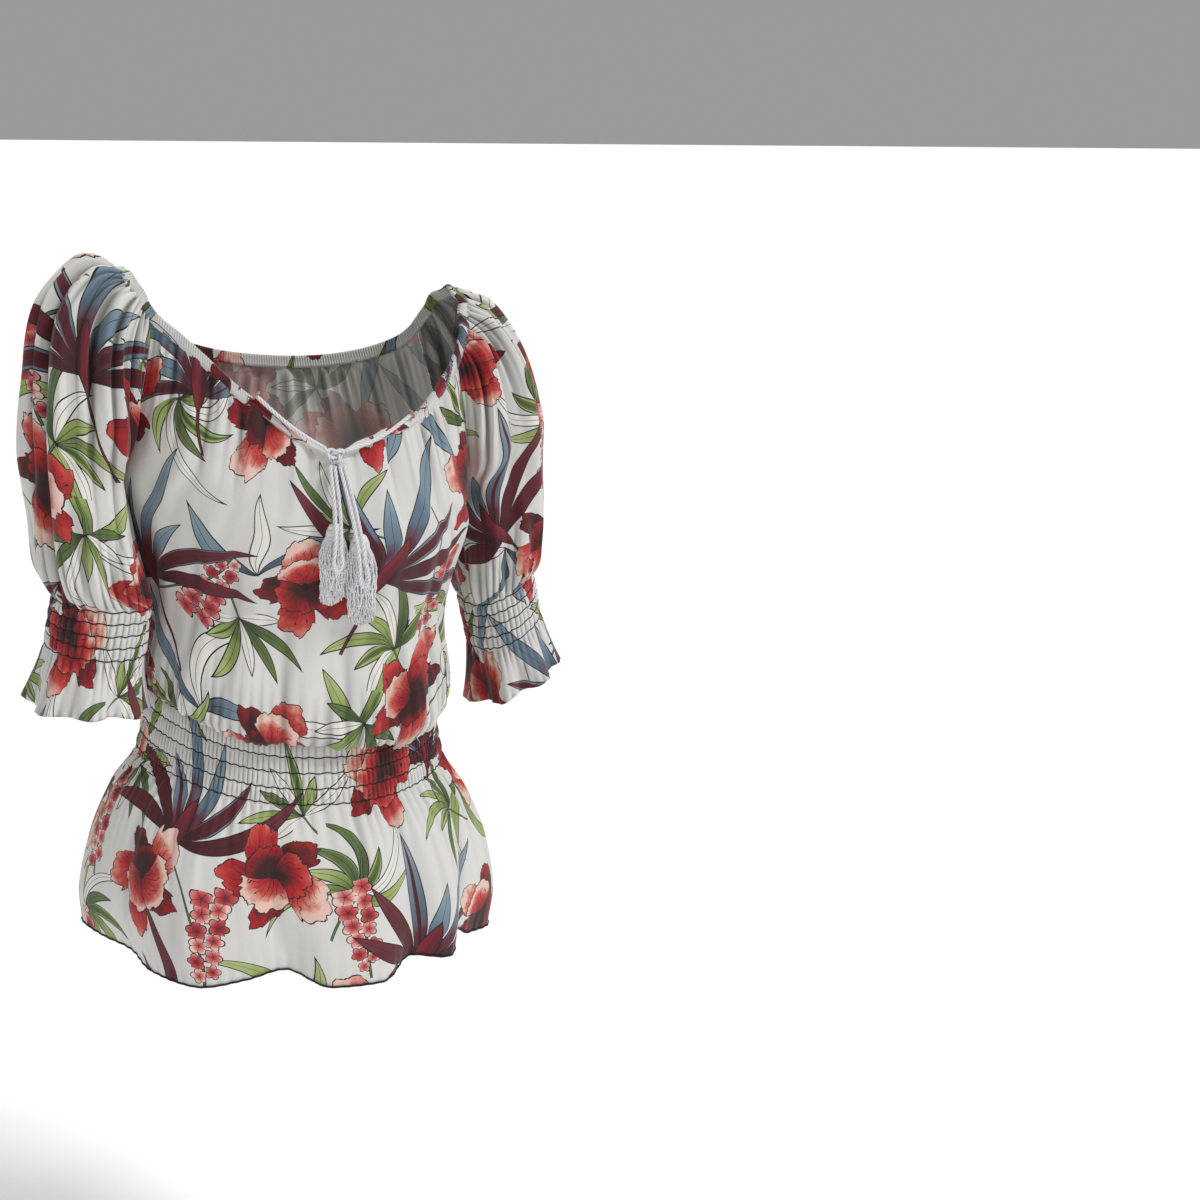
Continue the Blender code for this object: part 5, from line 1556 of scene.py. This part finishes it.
def tassel(row, strands, material):
    """A bound head and wavy yarns: each yarn runs from the head to its tip along a line that bows out,
    with a slow wave and a quick crinkle of its own, both sines of the share of its length."""
    name, x, low_x, top_z, radius, high, long = row
    top = leaned(lying(x, top_z, TASSEL_CLEAR))
    low = leaned(lying(low_x, top_z - long, TASSEL_CLEAR))
    hang = (low - top) / long
    hang[2] = -1.0
    golden = math.pi * (3 - math.sqrt(5))
    t = np.linspace(0, 1, 46)[:, None]
    shapes = []
    for n in range(strands):
        spread, a = math.sqrt((n + 0.5) / strands), golden * n
        aside = LEFTWARD * math.cos(a) * radius * spread
        ahead = -FORWARD * math.sin(a) * radius * spread
        root = top + 0.42 * aside + 0.24 * ahead + hang * high * 0.35
        tip = top + 1.30 * aside + 0.60 * ahead + hang * long * (0.89 + 0.11 * math.sin(2.4 * n))
        bow = 1.10 * aside + 0.34 * ahead
        path = root + (tip - root) * t + bow * np.sin(np.pi * t**0.8) * (1 - t) ** 0.6
        sway = np.sin(2 * np.pi * (2.4 + 0.9 * math.sin(n)) * t + 1.7 * n) * t**0.7
        crinkle = np.sin(2 * np.pi * (7.5 + 1.5 * math.sin(2 * n)) * t + 2.3 * n) * np.minimum(1, 4 * t)
        path = path + YARN_SWAY * sway * [math.cos(3.1 * n), 0.5 * math.sin(3.1 * n), 0]
        path = path + YARN_CRINKLE * crinkle * [math.cos(1.9 * n), 0.6 * math.sin(1.9 * n), 0]
        shapes.append(rings(path, LEFTWARD, YARN_RADIUS + YARN_VARIES * math.sin(5.3 * n), 5))
    s = np.linspace(0, 1, 16)
    size = radius * (0.42 + 0.50 * np.sin(np.pi * (0.10 + 0.55 * s)))
    core = top + hang * (high * s)[:, None] - hang * 0.0006
    knurl = 1 + 0.05 * np.cos(2 * np.pi * 10 * np.arange(20) / 20)
    dome = rings(core, LEFTWARD, size[:, None] * knurl, 20)
    dome[..., 1] = core[:, None, 1] + 0.5 * (dome[..., 1] - core[:, None, 1])
    wound = np.linspace(0, 2 * np.pi * BINDING_TURNS, 121)
    binding = top + hang * (high * 0.30 + BINDING_HIGH * wound[:, None] / wound[-1])
    binding = binding + radius * 0.80 * np.stack([np.cos(wound), 0.6 * np.sin(wound), 0 * wound], -1)
    shapes += [dome, rings(binding, UPWARD, BINDING_RADIUS, 6)]
    belongs(tubes(name + "_yarn", shapes, material), "cord", name)


def eyelet(path):
    """A worked eyelet: thread wound round a small oval that the tie leaves through."""
    along = unit(path[3] - path[0])
    side = unit(np.cross(along, FORWARD))
    turn = np.linspace(0, 2 * np.pi, 61)[:, None]
    ring = path[1] + EYELET_WIDE * np.cos(turn) * side + EYELET_HIGH * np.sin(turn) * np.cross(side, along)
    return rings(ring, along, EYELET_THREAD * (0.85 + 0.15 * np.cos(24 * turn)), 8)


def thread_rows(made, flip, first, channels, steps):
    """The rows of thread on a cloth, from its row called first: one on each side of every channel."""
    near = pushed(made, np.full(made.shape[:2], THREAD_PROUD), flip)
    return [thread(leaned(near[first + steps * channel])) for channel in range(channels + 1)]


def thread(path):
    """A row of thread: a thin tube whose radius swells at each stitch."""
    swell = 0.75 + 0.25 * np.abs(np.sin(np.pi * run_along(path) / THREAD_STITCH))
    return rings(path, UPWARD, THREAD_RADIUS * swell[:, None], 4)


def overlocked(edge):
    """The overlocked edge: thread wound round the hem, ribbed by its stitches."""
    swell = 0.85 + 0.15 * np.cos(2 * np.pi * run_along(edge) / OVERLOCK_STITCH)
    return rings(edge, UPWARD, OVERLOCK_RADIUS * swell[:, None], 6)


# ---------------------------------------------------------------- settings and operators


class BlouseSettings(bpy.types.PropertyGroup):
    """Sizes and colours that a user may change before the pieces are built."""

    ground: bpy.props.FloatVectorProperty(
        name="Cloth", description="Colour of the cloth under the print",
        subtype="COLOR", size=4, min=0, max=1, default=linear("#DFDFDA"))
    thickness: bpy.props.FloatProperty(
        name="Cloth thickness", description="Thickness of the cloth",
        default=0.0009, min=0.0003, max=0.002, subtype="DISTANCE", unit="LENGTH")
    tucks: bpy.props.IntProperty(
        name="Tucks", description="Tucks across each half of the waistband", default=92, min=20, max=120)
    pleats: bpy.props.IntProperty(
        name="Pleats", description="Pleats below each half of the waistband", default=46, min=10, max=80)
    strands: bpy.props.IntProperty(
        name="Yarns", description="Yarns in each tassel", default=118, min=20, max=140)


class BLOUSE_OT_camera(bpy.types.Operator):
    """Sets the camera a little to the wearer's right of the front and a little above it"""

    bl_idname = "blouse.camera"
    bl_label = "Camera"

    def execute(self, context):
        azimuth, elevation = math.radians(CAMERA_TURN), math.radians(CAMERA_RISE)
        away = Vector((math.sin(azimuth) * math.cos(elevation),
                       -math.cos(azimuth) * math.cos(elevation), math.sin(elevation)))
        eye = Vector(CAMERA_CENTRE) + away * CAMERA_FAR
        lens = bpy.data.cameras.new("camera")
        lens.lens = CAMERA_LENS
        lens.sensor_width = 36
        made = bpy.data.objects.new("camera", lens)
        context.scene.collection.objects.link(made)
        made.location = eye
        look = (Vector(CAMERA_AIM) - eye).to_track_quat("-Z", "Y").to_matrix()
        made.rotation_euler = (look @ Matrix.Rotation(math.radians(CAMERA_ROLL), 3, "Z")).to_euler()
        context.scene.camera = made
        return {"FINISHED"}


class BLOUSE_OT_drawstring(bpy.types.Operator):
    """Twists the drawstring's two ties, the loops of its bow, its two ends and the knot"""

    bl_idname = "blouse.drawstring"
    bl_label = "Drawstring"

    def execute(self, context):
        white = yarn("twisted_cotton_cord", "#F3F3F5", 3, CORD_PITCH, 0.75, 0.25)
        for name, share in EYELETS.items():
            cord_piece(name, tie_path(share), white)
        for name, *shape in LOOPS:
            cord_piece(name, loop_path(*shape), white)
        for (name, x, _, top_z, *_), (_, top_x, *_) in zip(TASSELS, LOOPS):
            cord_piece(name.replace("tassel", "tie_end"), end_path(x, top_z, top_x), white)
        middle = leaned(lying(KNOT[0], KNOT[1], KNOT_CLEAR))
        t = np.linspace(0, 2 * np.pi, 181)
        x, z = np.sin(t) + 2 * np.sin(2 * t), np.cos(t) - 2 * np.cos(2 * t)
        path = middle + np.stack([x, 1.1 * np.sin(3 * t), z], -1) * KNOT_SIZE
        belongs(tubes("tie_knot_cord", [rope(path)], white), "cord", "tie_knot")
        return {"FINISHED"}


class BLOUSE_OT_bodice(bpy.types.Operator):
    """Builds the gathered front and back"""

    bl_idname = "blouse.bodice"
    bl_label = "Front and back"

    def execute(self, context):
        for front in (True, False):
            bodice(front, context.scene.blouse)
        return {"FINISHED"}


class BLOUSE_OT_sleeves(bpy.types.Operator):
    """Builds both puffed sleeves with their ruched cuffs and frills"""

    bl_idname = "blouse.sleeves"
    bl_label = "Sleeves"

    def execute(self, context):
        for side, (sign, table) in SLEEVES.items():
            made, flat, _ = sleeve_surface(side, sign, table)
            piece = cloth(f"sleeve_{side}_cloth", made, flat, context.scene.blouse, sign < 0)
            declare(piece, flat, "sleeve_" + side, "cuff_" + side, "ruffle_" + side)
        return {"FINISHED"}


class BLOUSE_OT_peplum(bpy.types.Operator):
    """Builds the shirred band and the flared peplum, front and back"""

    bl_idname = "blouse.peplum"
    bl_label = "Band and peplum"

    def execute(self, context):
        for half in ("front", "back"):
            made, flat = peplum_surface(half == "front", context.scene.blouse)
            piece = cloth(f"peplum_{half}_cloth", made, flat, context.scene.blouse, True)
            declare(piece, flat, "waistband_" + half, "peplum_" + half)
        return {"FINISHED"}


class BLOUSE_OT_neck(bpy.types.Operator):
    """Builds the elastic casing round the neck, the narrow turned edge of the V and the eyelets"""

    bl_idname = "blouse.neck"
    bl_label = "Neck casing and edge"

    def execute(self, context):
        settings = context.scene.blouse
        line = neck_line()
        piece, flat = folded_edge("neck_casing_cloth", line, CASING_PROFILE, CASING_GATHERS, settings)
        declare(piece, flat, "neck_casing")
        across = np.linspace(EYELETS["tie_left"] - EDGE_PAST, EYELETS["tie_right"] + EDGE_PAST, 90)
        front = panel_rows(True, across)
        tops, up, outward, at = lined(front[-1].copy(), front[-1] - front[-2], EDGE_CALM, EDGE_POINTS)
        line = (tops, up, -outward, at)
        piece, flat = folded_edge("neck_edge", line, EDGE_PROFILE, EDGE_GATHERS, settings, True)
        declare(piece, flat, held="folded")
        pink = yarn("cotton_eyelet_thread", "#D99A8A", 2, EYELET_PITCH, 0.7, 0.15)
        belongs(tubes("eyelets", [eyelet(tie_path(share)) for share in EYELETS.values()], pink), "cloth")
        return {"FINISHED"}


class BLOUSE_OT_threads(bpy.types.Operator):
    """Sews the rows of black elastic thread and the black overlocked hems"""

    bl_idname = "blouse.threads"
    bl_label = "Threads and hems"

    def execute(self, context):
        black = yarn("spun_polyester_thread", "#101015", 2, THREAD_PITCH, 0.6, 0.03)
        rows, hems = [], []
        for front in (True, False):
            made, _ = peplum_surface(front, context.scene.blouse)
            rows += thread_rows(made, True, 0, BAND_CHANNELS, BAND_STEPS)
            hems.append(overlocked(leaned(made[-1])))
        for side, (sign, table) in SLEEVES.items():
            made, _, first = sleeve_surface(side, sign, table)
            rows += thread_rows(made, sign < 0, first, CUFF_CHANNELS, CUFF_STEPS)
        for name, shapes in (("elastic_threads", rows), ("overlocked_hem", hems)):
            belongs(tubes(name, shapes, black), "cloth")
        return {"FINISHED"}


class BLOUSE_OT_tassels(bpy.types.Operator):
    """Builds the two yarn tassels"""

    bl_idname = "blouse.tassels"
    bl_label = "Tassels"

    def execute(self, context):
        white = yarn("cotton_tassel_yarn", "#FAFAFC", 2, YARN_PITCH, 0.85, 0.35, -0.30)
        for row in TASSELS:
            tassel(row, context.scene.blouse.strands, white)
        return {"FINISHED"}


class BLOUSE_OT_stage(bpy.types.Operator):
    """Sets a pale floor well below the hem, a pale surround and soft lamps"""

    bl_idname = "blouse.stage"
    bl_label = "Floor and lamps"

    def execute(self, context):
        ends = ((-1, -1), (1, -1), (1, 1), (-1, 1))
        corners = [(x * FLOOR_HALF, y * FLOOR_HALF, FLOOR) for x, y in ends]
        floor = mesh_object("floor", corners, [(0, 1, 2, 3)])
        floor.data.materials.append(matt_paint("matt_white_paint", "#FCFCFC"))
        world = bpy.data.worlds.new("surround")
        world.use_nodes = True
        surround = world.node_tree.nodes["Background"].inputs
        surround["Color"].default_value = linear(SURROUND_COLOUR)
        surround["Strength"].default_value = SURROUND_STRENGTH
        context.scene.world = world
        context.scene.view_settings.view_transform = "Standard"
        for name, place, strength, spread in LAMPS:
            lamp = bpy.data.lights.new(name, "SUN")
            lamp.energy = strength
            lamp.angle = math.radians(spread)
            made = bpy.data.objects.new(name, lamp)
            context.scene.collection.objects.link(made)
            made.location = place
            aim = Vector(LAMP_AIM) - Vector(place)
            made.rotation_euler = aim.to_track_quat("-Z", "Y").to_euler()
        return {"FINISHED"}


OPERATORS = (
    BLOUSE_OT_camera, BLOUSE_OT_drawstring, BLOUSE_OT_bodice, BLOUSE_OT_sleeves, BLOUSE_OT_peplum,
    BLOUSE_OT_neck, BLOUSE_OT_threads, BLOUSE_OT_tassels, BLOUSE_OT_stage,
)


class BLOUSE_PT_panel(bpy.types.Panel):
    """Lists the blouse's settings and the operators that build it"""

    bl_idname = "BLOUSE_PT_panel"
    bl_label = "Peasant blouse"
    bl_space_type = "VIEW_3D"
    bl_region_type = "UI"
    bl_category = "Blouse"

    def draw(self, context):
        for name in BlouseSettings.__annotations__:
            self.layout.prop(context.scene.blouse, name)
        for operator in OPERATORS:
            self.layout.operator(operator.bl_idname)


def register():
    """Registers the settings, the operators and the panel."""
    for made in (BlouseSettings, *OPERATORS, BLOUSE_PT_panel):
        bpy.utils.register_class(made)
    bpy.types.Scene.blouse = bpy.props.PointerProperty(type=BlouseSettings)


def unregister():
    """Takes them out again, in the other order."""
    del bpy.types.Scene.blouse
    for made in (BLOUSE_PT_panel, *reversed(OPERATORS), BlouseSettings):
        bpy.utils.unregister_class(made)


def main():
    """Runs every operator."""
    register()
    for operator in OPERATORS:
        getattr(bpy.ops.blouse, operator.bl_idname.split(".")[1])()


if __name__ == "__main__":
    main()
